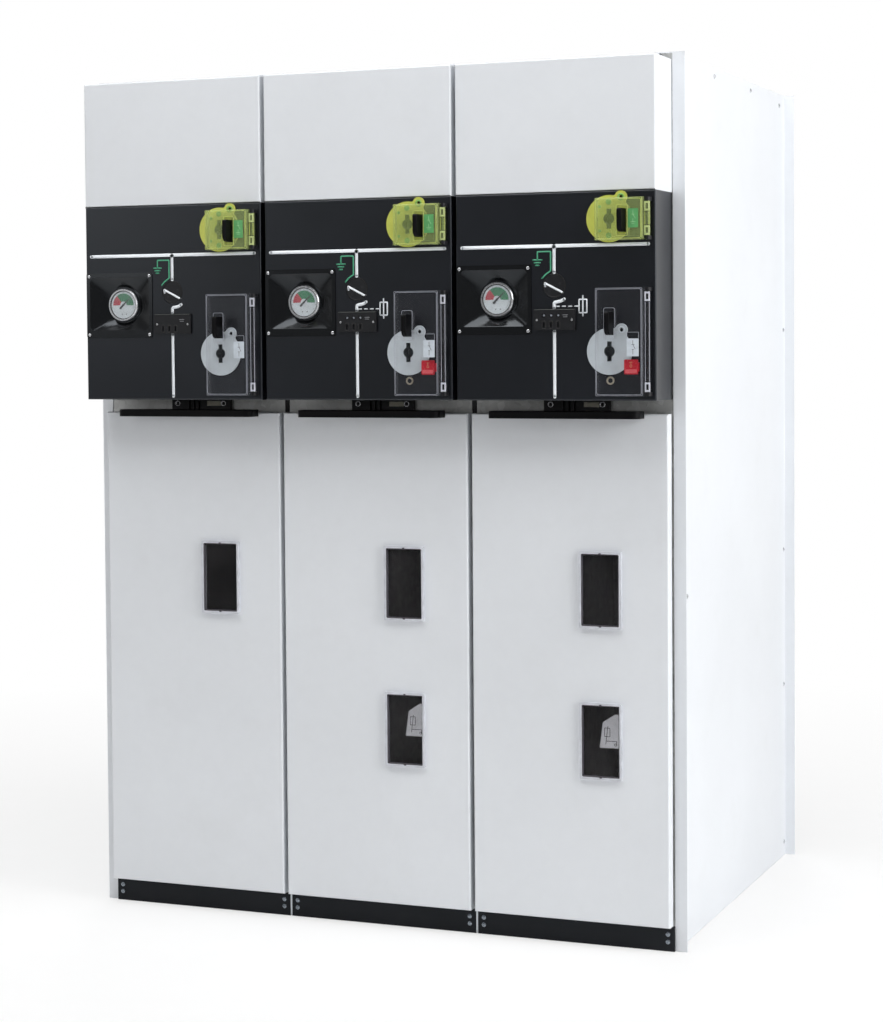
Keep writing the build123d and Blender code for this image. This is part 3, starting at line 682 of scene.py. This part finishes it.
def addVoltageParts(bay):
    name, face = str(bay + 1), voltage["face"]
    drawLines("voltageEdge" + name, bay, [voltage["edge"]], voltage["edgeWidth"], face, inksAndPaintedLight["blockEdgeHighlight"],
              "root", thickness=voltage["edgeThickness"])
    drawLines("voltageMarks" + name, bay, voltage["marks"], voltage["markWidth"], face, inksAndPaintedLight["greyInk"],
              "root")
    places = [inBay(bay, x, face, voltage["screwZ"]) for x in voltage["screwX"]]
    screws("voltageScrews" + name, places, "front", voltage["screwRadius"], voltage["screwSeed"] + bay,
           zincScrew)
    reach = voltage["socketX"]
    rims = [loopOf(panel(x - reach, voltage["socketLow"], x + reach, voltage["socketHigh"]))
            for x in voltage["columns"]]
    drawLines("socketRims" + name, bay, rims, voltage["rimWidth"], face, inksAndPaintedLight["socketRim"], "root",
              corner=voltage["socketCorner"])
    if bay in fuseBays:
        lamps = Moulding(bay)
        for x in voltage["columns"]:
            lamps.slab(circle(x, voltage["lampZ"], voltage["lampRadius"], 20), *voltage["lampLayer"])
        lamps.done("voltageLamps" + name, inksAndPaintedLight["lampLens"], "root", True)


# The pressure gauge's dial, needle and glass, and the screws of its plate

gauge = {
    "x": 77.0, "z": 1156.0,
    "ring": (27.4, 25.4, -88.0, -89.4, 64, -88.3),  # ends with its front at the inner radius
    "whiteRadius": 25.5, "whiteLayer": (-88.0, -88.3),
    "sectors": (("Red", 128.0, 54.0, "red_plastic"), ("Green", -2.0, 130.0, None)),
    "sectorInner": 6.6, "sectorOuter": 21.8, "sectorLayer": (-88.2, -88.45),
    "hubRadius": 6.7, "hubLayer": (-88.2, -88.7, 0.2),
    "needle": ((-7.4, -7.6), (-5.0, -8.2), (0.9, -1.0), (14.6, 13.0), (14.2, 13.5), (-1.2, 1.2),
               (-8.2, -5.2)),
    "needleLayer": (-89.0, -89.5), "pinRadius": 1.9, "pinLayer": (-88.7, -90.0, 0.3),
    "tickAngles": range(-30, 211, 20), "tickReach": (22.6, 24.2), "tickWidth": 0.45, "tickFace": -88.35,
    "dots": (-2.8, 6.2), "dot": (-1.1, -18.2, 1.1, -16.0), "dotCorner": 0.4, "dotLayer": (-88.2, -88.5),
    "glassRadius": 27.4, "glassLayer": (-90.2, -90.8),
    "screwX": (11.0, 139.5), "screwZ": (1100.0, 1210.0), "screwY": -101.5,
    "screwRadius": 3.0, "screwSeed": 21,
}


def addGaugeFace(bay):
    name, x, z = str(bay + 1), gauge["x"], gauge["z"]
    ground = Moulding(bay)
    ground.hoop(x, z, *gauge["ring"])
    ground.done("gaugeShadowRing" + name, inksAndPaintedLight["gapShadow"], "root")
    dial = Moulding(bay)
    dial.slab(circle(x, z, gauge["whiteRadius"], 64), *gauge["whiteLayer"])
    dial.done("gaugeDial" + name, inksAndPaintedLight["dialWhite"], "root")
    for label, start, turn, slot in gauge["sectors"]:
        wedge = Moulding(bay)
        wedge.slab(sector(x, z, gauge["sectorInner"], gauge["sectorOuter"], start, turn),
                   *gauge["sectorLayer"])
        wedge.done("gauge" + label + name, inksAndPaintedLight["dial" + label], "root")
    hub = Moulding(bay)
    hub.slab(circle(x, z, gauge["hubRadius"], 32), *gauge["hubLayer"])
    hub.done("gaugeHub" + name, inksAndPaintedLight["dialWhite"], "root")
    needle = Moulding(bay)
    needle.slab([(x + across, z + up) for across, up in gauge["needle"]], *gauge["needleLayer"])
    needle.slab(circle(x, z, gauge["pinRadius"], 20), *gauge["pinLayer"])
    needle.done("gaugeNeedle" + name, inksAndPaintedLight["darkInk"], "root")
    ticks = [[(x + along * math.cos(a), z + along * math.sin(a)) for along in gauge["tickReach"]]
             for a in (math.radians(angle) for angle in gauge["tickAngles"])]
    drawLines("gaugeTicks" + name, bay, ticks, gauge["tickWidth"], gauge["tickFace"], inksAndPaintedLight["darkInk"], "root",
              thickness=0.2)
    dots = Moulding(bay)
    left, low, right, high = gauge["dot"]
    for offset in gauge["dots"]:
        middle = x + offset
        dots.slab(panel(middle + left, z + low, middle + right, z + high, gauge["dotCorner"]),
                  *gauge["dotLayer"])
    dots.done("gaugeDots" + name, inksAndPaintedLight["greyInk"], "root")
    glass = Moulding(bay)
    glass.slab(circle(x, z, gauge["glassRadius"], 64), *gauge["glassLayer"])
    glass.done("gaugeGlass" + name, gaugeGlass, "root")
    places = [inBay(bay, px, gauge["screwY"], pz) for px in gauge["screwX"] for pz in gauge["screwZ"]]
    screws("gaugeScrews" + name, places, "front", gauge["screwRadius"], gauge["screwSeed"] + bay, brightScrew)


# What differs between the earthing switch's disc and flap and the load switch's

switchgear = {
    "earthing": {
        "discZ": 1292.0, "discSlot": "yellow_disc_plastic",
        "liningInk": "socketOlive", "studInk": "bossGreen",
        "bosses": ((0.0, 29.0, 5.1, 24), (-16.0, 21.0, 2.7, 20)),  # across, up, radius, corners
        "low": 1254.5, "high": 1327.0, "cup": (308.1, 1261.25, 328.1, 1314.75),
        "flapSlot": "yellow_plastic", "edgeHighlight": "highlightYellow", "clipInk": "clipYellow",
        "label": (328.9, 1274.8, 347.2, 1307.3, 1.2), "labelInk": "labelGreen", "labelSlot": None,
        "sign": [
            [(338.0, 1304.0), (338.0, 1297.5), (342.4, 1290.4)], [(338.0, 1290.0), (338.0, 1284.6)],
            [(334.0, 1284.4), (342.0, 1284.4)], [(335.6, 1281.6), (340.4, 1281.6)],
            [(335.6, 1297.2), (340.4, 1297.2)],
        ],
        "signWidth": 0.9, "signInk": "paleGreen", "pocket": None,
    },
    "switch": {
        "discZ": 1063.5, "discSlot": "frosted_plastic", "liningInk": "socketGrey", "studInk": "bossClear",
        "bosses": (),
        "low": 986.5, "high": 1173.0, "cup": (284.9, 1084.75, 304.9, 1138.25),
        "flapSlot": "clear_plastic", "edgeHighlight": "highlightClear", "clipInk": "clipClear",
        "label": (326.0, 1055.0, 347.5, 1085.5, 0.8), "labelInk": "labelPale", "labelSlot": "white_paint",
        "sign": [
            [(337.0, 1082.0), (337.0, 1075.4), (341.0, 1067.6)], [(337.0, 1067.0), (337.0, 1058.6)],
            [(334.6, 1075.2), (339.4, 1075.2)], [(335.4, 1066.6), (338.6, 1066.6)],
        ],
        "signWidth": 0.7, "signInk": "darkInk",
        "pocket": [(326.3, 1086.2), (326.3, 1096.3), (347.2, 1096.3), (347.2, 1086.2)],
    },
}


# The lock discs' keyhole linings, the rims of their padlock holes and their bosses

lockDisc = {
    "x": 288.4,
    "keyOuter": (9.7, 4.15, 17.15), "keyInner": (9.1, 3.6, 16.6),  # radius, slot's half width and half height
    "liningLayer": (-84.02, -103.5), "floorLayer": (-84.02, -84.5),
    "earX": 21.7, "earZ": 37.0, "eyelet": (6.2, 3.35, -103.95, -104.5, 32, -104.3),
    "bossLayer": (-105.15, -105.5, 0.2),
}


def keyhole(x, z, radius, halfWidth, halfHeight):
    lean = math.degrees(math.asin(halfWidth / radius))
    right = circle(x, z, radius, 16, lean - 90, 180 - 2 * lean)
    left = circle(x, z, radius, 16, 90 + lean, 180 - 2 * lean)
    return (right + [(x + halfWidth, z + halfHeight), (x - halfWidth, z + halfHeight)] + left
            + [(x - halfWidth, z - halfHeight), (x + halfWidth, z - halfHeight)])


def addDiscParts(bay, kind):
    name, body, look = f"{kind.title()}{bay + 1}", f"{kind}_lock_disc_{bay + 1}", switchgear[kind]
    x, z = lockDisc["x"], look["discZ"]
    lining = Moulding(bay)
    outer, inner = keyhole(x, z, *lockDisc["keyOuter"]), keyhole(x, z, *lockDisc["keyInner"])
    lining.ring(outer, inner, *lockDisc["liningLayer"])
    lining.slab(inner, *lockDisc["floorLayer"])
    lining.done("keyLining" + name, inksAndPaintedLight[look["liningInk"]], body)
    studs = Moulding(bay)
    studs.hoop(x + lockDisc["earX"], z + lockDisc["earZ"], *lockDisc["eyelet"])
    for side in (-1, 1):
        for across, up, radius, corners in look["bosses"]:
            studs.slab(circle(x + across, z + side * up, radius, corners), *lockDisc["bossLayer"])
    studs.done("discStuds" + name, inksAndPaintedLight[look["studInk"]], body, True)


# The flaps' moulded edges and hinge ribs, made bright with painted highlights, and their hinge clips and
# labels

flap = {
    "face": -125.0,
    "edgeLeft": 271.6, "edgeRight": 351.4, "edgeInset": 2.6, "edgeWidth": 0.6, "edgeCorner": 3.0,
    "rimLeft": 269.9, "rimRight": 353.1, "rimInset": 0.9, "rimWidth": 0.45, "rimCorner": 1.5,
    "rimFace": -124.5,
    "clipUp": 7.2, "clipDown": 24.0, "clipHeight": 16.6, "clipCorner": 0.5,
    "cheeks": ((355.6, 357.5), (362.5, 364.4)), "cheekLayer": (-114.5, -117.2, 0.3),
    "barX": (357.4, 362.6), "bars": ((0.4, 3.4), (13.2, 16.2)), "barLayer": (-114.5, -116.9),
    "ribX": (356.3, 363.7), "ribInset": 25.5, "ribWidth": 0.7, "ribFace": -115.6, "ribThickness": 1.2,
    "labelLayer": (-125.0, -125.3), "signFace": -125.35, "signThickness": 0.2,
    "pocketWidth": 0.6, "pocketCorner": 0.8,
}


def addFlapParts(bay, kind):
    name, body, look = f"{kind.title()}{bay + 1}", f"{kind}_flap_{bay + 1}", switchgear[kind]
    low, high, face, slot = look["low"], look["high"], flap["face"], look["flapSlot"]
    # lines of painted highlight along the moulded edges, the cup's rim and the outer rim
    edgeHighlight, inset = inksAndPaintedLight[look["edgeHighlight"]], flap["edgeInset"]
    edges = [loopOf(panel(flap["edgeLeft"], low + inset, flap["edgeRight"], high - inset)),
             loopOf(panel(*look["cup"]))]
    drawLines("flapEdge" + name, bay, edges, flap["edgeWidth"], face, edgeHighlight, body,
              corner=flap["edgeCorner"])
    rim = loopOf(panel(flap["rimLeft"], low + flap["rimInset"], flap["rimRight"], high - flap["rimInset"]))
    drawLines("flapRim" + name, bay, [rim], flap["rimWidth"], flap["rimFace"], edgeHighlight, body,
              corner=flap["rimCorner"])
    clips = Moulding(bay)
    for start in (low + flap["clipUp"], high - flap["clipDown"]):
        for left, right in flap["cheeks"]:
            clips.slab(panel(left, start, right, start + flap["clipHeight"], flap["clipCorner"]),
                       *flap["cheekLayer"])
        left, right = flap["barX"]
        for foot, head in flap["bars"]:
            clips.slab(panel(left, start + foot, right, start + head), *flap["barLayer"])
    clips.done("hingeClips" + name, inksAndPaintedLight[look["clipInk"]], body)
    # the hinge ribs take the same painted highlight colour
    ribs = [[(x, low + flap["ribInset"]), (x, high - flap["ribInset"])] for x in flap["ribX"]]
    drawLines("hingeRibs" + name, bay, ribs, flap["ribWidth"], flap["ribFace"], edgeHighlight, body,
              thickness=flap["ribThickness"])
    label = Moulding(bay)
    label.slab(panel(*look["label"]), *flap["labelLayer"])
    label.done(f"{kind}Label{name}", inksAndPaintedLight[look["labelInk"]], body)
    drawLines(f"{kind}Sign{name}", bay, look["sign"], look["signWidth"], flap["signFace"],
              inksAndPaintedLight[look["signInk"]], body, thickness=flap["signThickness"])
    # the label pocket's outline takes the same light colour as the painted highlights
    if look["pocket"]:
        drawLines("labelPocket" + name, bay, [look["pocket"]], flap["pocketWidth"], face, edgeHighlight, body,
                  corner=flap["pocketCorner"])


# The marks on the trip buttons, and the ring of the socket beside each

trip = {
    "band": (320.4, 1026.0, 341.4, 1032.6, 0.8), "bandLayer": (-117.0, -117.25),
    "markWidth": 0.8, "markFace": -117.05, "markEye": (331.0, 1038.2, 2.0, 12),
    "markStem": [(331.0, 1040.4), (331.0, 1044.6)], "markBar": [(328.6, 1044.8), (333.4, 1044.8)],
    "socket": (289.0, 1013.0, 7.2, 4.2, -100.0, -100.6, 40),  # x, z, radii, back, front and corners
}


def addTripMarks(bay):
    name, body = str(bay + 1), f"trip_button_{bay + 1}"
    band = Moulding(bay)
    band.slab(panel(*trip["band"]), *trip["bandLayer"])
    band.done("tripBand" + name, inksAndPaintedLight["paleRed"], body)
    marks = [loopOf(circle(*trip["markEye"])), trip["markStem"], trip["markBar"]]
    drawLines("tripMark" + name, bay, marks, trip["markWidth"], trip["markFace"], inksAndPaintedLight["warmInk"], body)
    ring = Moulding(bay)
    ring.hoop(*trip["socket"])
    ring.done("socketRing" + name, inksAndPaintedLight["frostRing"], "root", True)


# The label plate and contact rings on the terminal block over each door

strip = {
    "label": (211.0, 964.2, 239.6, 973.0, 0.6), "labelLayer": (-9.0, -9.5, 0.15),
    "contactX": (149.0, 246.0), "contactZ": 969.0, "contact": (5.4, 3.2, -9.0, -11.0, 32, -10.6),
}


def addStripParts(bay):
    name = str(bay + 1)
    plate = Moulding(bay)
    plate.slab(panel(*strip["label"]), *strip["labelLayer"])
    plate.done("terminalLabel" + name, labelMetal, "root")
    rings = Moulding(bay)
    for x in strip["contactX"]:
        rings.hoop(x, strip["contactZ"], *strip["contact"])
    rings.done("contactRings" + name, brightScrew, "root", True)


# The dark line of painted shade in the gap under each top cover, and the light line of painted highlight
# along the panel's bend below it

panelEdge = {
    "face": -100.1, "left": 4.8, "right": 370.2, "thickness": 0.2,
    "lines": (("Joint", "paintedGapShade", 1340.7, 1.1), ("Bend", "paintedBendHighlight", 1338.6, 1.0)),  # z and width
}


def addPanelEdges(bay):
    for word, ink, z, width in panelEdge["lines"]:
        stroke = [(panelEdge["left"], z), (panelEdge["right"], z)]
        drawLines(f"panel{word}{bay + 1}", bay, [stroke], width, panelEdge["face"], inksAndPaintedLight[ink], "root",
                  thickness=panelEdge["thickness"])


# The seals round the windows' glass, with a small clip at the middle of each top and bottom edge

windows = {
    "left": 208.0, "width": 78.0, "height": 136.5, "upper": 572.5, "lower": 303.5, "bar": 4.0,
    "seal": 2.4, "sealCorner": 0.4, "sealLayer": (-29.0, -33.4, -31.0),
    "clipX": 2.6, "clipZ": 1.6, "clipInset": 0.2, "clipCorner": 0.5, "clipLayer": (-32.0, -34.6),
}


def addWindowSeals(bay):
    seals = Moulding(bay)
    left, bar, corner = windows["left"], windows["bar"], windows["sealCorner"]
    right, inset = left + windows["width"], bar + windows["seal"]
    middle = left + windows["width"] / 2
    wide, tall = windows["clipX"], windows["clipZ"]
    lows = (windows["upper"], windows["lower"]) if bay in fuseBays else (windows["upper"],)
    for low in lows:
        high = low + windows["height"]
        outer = panel(left + bar, low + bar, right - bar, high - bar, corner)
        inner = panel(left + inset, low + inset, right - inset, high - inset, corner)
        seals.ring(outer, inner, *windows["sealLayer"])
        for z in (low + bar + windows["clipInset"], high - bar - windows["clipInset"]):
            seals.slab(panel(middle - wide, z - tall, middle + wide, z + tall, windows["clipCorner"]),
                       *windows["clipLayer"])
    seals.done(f"windowSeals{bay + 1}", inksAndPaintedLight["gasketRubber"], f"door_{bay + 1}")


# The fuse symbol on the plate behind each lower window

plateSign = {
    "face": 1.95, "width": 0.9, "corner": 0.5,
    "box": (243.2, 375.2, 253.2, 390.4), "slash": [(249.4, 393.6), (245.4, 361.6)],
    "lead": [(247.2, 367.0), (265.6, 367.2), (265.6, 359.0)], "end": (263.6, 361.0, 2.0, 10),
}


def addPlateSign(bay):
    sign = [loopOf(panel(*plateSign["box"])), plateSign["slash"], plateSign["lead"],
            loopOf(circle(*plateSign["end"]))]
    drawLines(f"plateSign{bay + 1}", bay, sign, plateSign["width"], plateSign["face"], inksAndPaintedLight["darkInk"],
              "root", corner=plateSign["corner"])


# The sheets' screws, and the rails between the plinths

sheetScrews = {
    "side": [(275.0, 1569.0), (550.0, 1569.0), (790.0, 1561.0), (824.0, 1100.0), (824.0, 643.0),
             (824.0, 361.0), (824.0, 29.0), (75.0, 623.0), (24.0, 29.0)],  # y and z
    "plinthX": (13.5, 361.0), "plinthY": -5.0, "plinthZ": (17.0, 30.5),
    "sheetX": (12.0, 363.0), "rearZ": (40.0, 420.0, 800.0, 1180.0, 1560.0), "roofY": (20.0, 420.0, 820.0),
    "heads": {"side": (4.4, 41), "plinth": (4.4, 42), "rear": (4.6, 43), "roof": (4.6, 44)},  # radius, seed
    "flushRise": 0.02,  # the roof's and the rear's heads are let in flush
}


def addScrews():
    heads, rise = sheetScrews["heads"], sheetScrews["flushRise"]
    side = bayWidth * len(bays) / 2
    for word, sign in (("Right", 1), ("Left", -1)):
        places = [(sign * side, frontY + y * mm, z * mm) for y, z in sheetScrews["side"]]
        screws("sideScrews" + word, places, word.lower(), *heads["side"], brightScrew)
    kicks = [inBay(bay, x, sheetScrews["plinthY"], z) for bay in bays for x in sheetScrews["plinthX"]
             for z in sheetScrews["plinthZ"]]
    screws("plinthScrews", kicks, "front", *heads["plinth"], plinthScrew)
    depth = (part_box("rear_panels")[1].y - frontY) / mm
    backs = [inBay(bay, x, depth, z) for bay in bays for x in sheetScrews["sheetX"]
             for z in sheetScrews["rearZ"]]
    screws("rearScrews", backs, "rear", *heads["rear"], zincScrew, rise=rise)
    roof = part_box("roof_panels")[1].z / mm
    tops = [inBay(bay, x, y, roof) for bay in bays for x in sheetScrews["sheetX"]
            for y in sheetScrews["roofY"]]
    screws("roofScrews", tops, "top", *heads["roof"], zincScrew, rise=rise)


plinthRail = {"outline": (-1.7, 0.6, 1.7, 42.0, 0.4), "layer": (1.5, -4.6, 0.3)}


def addPlinthRails():
    for bay in bays[1:]:
        rail = Moulding(bay)
        rail.slab(panel(*plinthRail["outline"]), *plinthRail["layer"])
        rail.done(f"plinthRail{bay}", railMetal, "root")


# CAD nodes whose finish differs from the rest of their slot

# the label plates take a grey with a painted glow
ownFinish = {"gauge_plates": funnelBlack, "plinths": plinthPaint, "label_plates": inksAndPaintedLight["plateGlow"]}
for bay in bays:
    for node in ("earthing_flap_grip", "switch_flap_grip", "door_handle"):
        ownFinish[f"{node}_{bay + 1}"] = gripBlack
for node, material in ownFinish.items():
    frame["nodes"][node].data.materials[0] = material

for bay in bays:
    addPanelEdges(bay)
    addMimic(bay)
    addIndicatorParts(bay)
    addVoltageParts(bay)
    addGaugeFace(bay)
    addStripParts(bay)
    addWindowSeals(bay)
    for kind in switchgear:
        addDiscParts(bay, kind)
        addFlapParts(bay, kind)
    if bay in fuseBays:
        addTripMarks(bay)
        addPlateSign(bay)
    print("bay", bay + 1, "detailed")
addScrews()
addPlinthRails()
bpy.data.objects.remove(headTemplate)


# Stage, light and camera

studio = {
    "floorHalf": 7.0,
    "floorDrop": 1 * mm,
    "floorGloss": 0.1,
    "floorGlow": 0.6,  # share of the floor that shows as plain white near the row
    "glowFrom": 0.1, "glowTo": 0.42,  # shares of floorHalf between which it turns all white
    "skyLight": 0.06,
    "frontGloss": 0.22,  # what a shiny face mirrors in front of the row, and behind it
    "backGloss": 1.0,
    "glossFrom": -0.3, "glossTo": 0.5,  # the mirrored ray's y at which each of those two is reached
    "aim": (0, 0, 0.8),
    "lamps": [  # name, place, size, watts
        ("rightKey", (4.6, -1.2, 2.6), 3.0, 197),
        ("topFront", (-0.1, -1.45, 4.4), 3.2, 139),
        ("leftFill", (-2.8, -3.4, 2.2), 2.0, 18),
        ("backFill", (-1.5, 4.6, 2.8), 3.0, 110),
    ],
}


def makeFloor():
    half = studio["floorHalf"]
    corners = [(-half, -half), (half, -half), (half, half), (-half, half)]
    mesh = bpy.data.meshes.new("studioFloor")
    mesh.from_pydata([(x, y, -studio["floorDrop"]) for x, y in corners], [], [(0, 1, 2, 3)])
    floor = linked("studioFloor", mesh)
    finish = Finish("studioFloorPaint", Roughness=0.7)
    finish.shader.inputs["Specular IOR Level"].default_value = studio["floorGloss"]
    wire = finish.wire
    away = wire.node("ShaderNodeVectorMath", {"operation": "LENGTH"}, {0: finish.place}, "Value")
    far = finish.ramp(away / half, [(studio["glowFrom"], (0, 0, 0)), (studio["glowTo"], (1, 1, 1))])
    grain = finish.noise(12.0, 3.0)
    finish.feed("Base Color", finish.ramp(grain, [(0.3, (0.9, 0.9, 0.9)), (0.7, (0.92, 0.92, 0.92))]))
    seen = wire.node("ShaderNodeLightPath", {}, {}, "Is Camera Ray")
    glow = wire.node("ShaderNodeEmission", {}, {"Color": (1, 1, 1, 1), "Strength": 1.0})
    share = seen * (far * (1 - studio["floorGlow"]) + studio["floorGlow"])
    painted = Wire(finish.tree, finish.shader.outputs[0])
    mixed = wire.node("ShaderNodeMixShader", {}, {0: share, 1: painted, 2: glow})
    finish.tree.links.new(mixed.socket, finish.tree.nodes["Material Output"].inputs["Surface"])
    floor.data.materials.append(finish.material)


def makeSky():
    world = bpy.data.worlds.new("studioSky")
    world.use_nodes = True
    bpy.context.scene.world = world
    wire = Wire(world.node_tree)
    background = world.node_tree.nodes["Background"]
    background.inputs["Color"].default_value = (1, 1, 1, 1)
    seen = wire.node("ShaderNodeLightPath", {}, {}, "Is Camera Ray")
    mirrored = wire.node("ShaderNodeLightPath", {}, {}, "Is Glossy Ray")
    through = wire.node("ShaderNodeLightPath", {}, {}, "Is Transmission Ray")
    toward = wire.node("ShaderNodeTexCoord", {}, {}, "Generated")
    behind = wire.node("ShaderNodeSeparateXYZ", {}, {"Vector": toward}, "Y")
    part = wire.node("ShaderNodeMapRange", {}, {
        "Value": behind, "From Min": studio["glossFrom"], "From Max": studio["glossTo"],
        "To Min": studio["frontGloss"], "To Max": studio["backGloss"]})
    direct = wire.maths("MAXIMUM", wire.maths("MAXIMUM", seen, mirrored * part), through)
    strength = direct * (1 - studio["skyLight"]) + studio["skyLight"]
    world.node_tree.links.new(strength.socket, background.inputs["Strength"])


def makeLamps():
    aim = Vector(studio["aim"])
    for name, place, size, watts in studio["lamps"]:
        light = bpy.data.lights.new(name, "AREA")
        light.size = size
        light.energy = watts
        lamp = bpy.data.objects.new(name, light)
        lamp.location = place
        lamp.rotation_euler = (aim - Vector(place)).to_track_quat("-Z", "Y").to_euler()
        bpy.context.scene.collection.objects.link(lamp)


photoCamera = {  # fitted to the photo's corners, in its 883 by 1022 pixels
    "fromCorner": (2.24824, -3.97300, 1.08778),  # from the first bay's left edge, front plane and floor
    "yaw": 22.401,
    "down": 2.307,
    "roll": -0.464,
    "focalPixels": 2338.39,
    "axisPixel": (403.79, 433.17),
    "photoSize": (883, 1022),
}


def makeCamera():
    yaw, down, roll = (math.radians(photoCamera[key]) for key in ("yaw", "down", "roll"))
    ahead = Vector((-math.sin(yaw) * math.cos(down), math.cos(yaw) * math.cos(down), -math.sin(down)))
    level = Vector((math.cos(yaw), math.sin(yaw), 0))
    upright = level.cross(ahead)
    right = math.cos(roll) * level + math.sin(roll) * upright
    up = math.cos(roll) * upright - math.sin(roll) * level
    width, height = photoCamera["photoSize"]
    lens = bpy.data.cameras.new("photoCamera")
    lens.sensor_width = 36
    lens.lens = lens.sensor_width * photoCamera["focalPixels"] / height
    lens.shift_x = (width / 2 - photoCamera["axisPixel"][0]) / height
    lens.shift_y = (photoCamera["axisPixel"][1] - height / 2) / height
    camera = bpy.data.objects.new("photoCamera", lens)
    turned = Matrix((right, up, -ahead)).transposed().to_4x4()
    place = Vector((bayLeft[0], frontY, 0)) + Vector(photoCamera["fromCorner"])
    camera.matrix_world = Matrix.Translation(place) @ turned
    bpy.context.scene.collection.objects.link(camera)
    bpy.context.scene.camera = camera


makeFloor()
makeSky()
makeLamps()
makeCamera()
bpy.context.scene.view_settings.view_transform = "Standard"
print("studio ready")
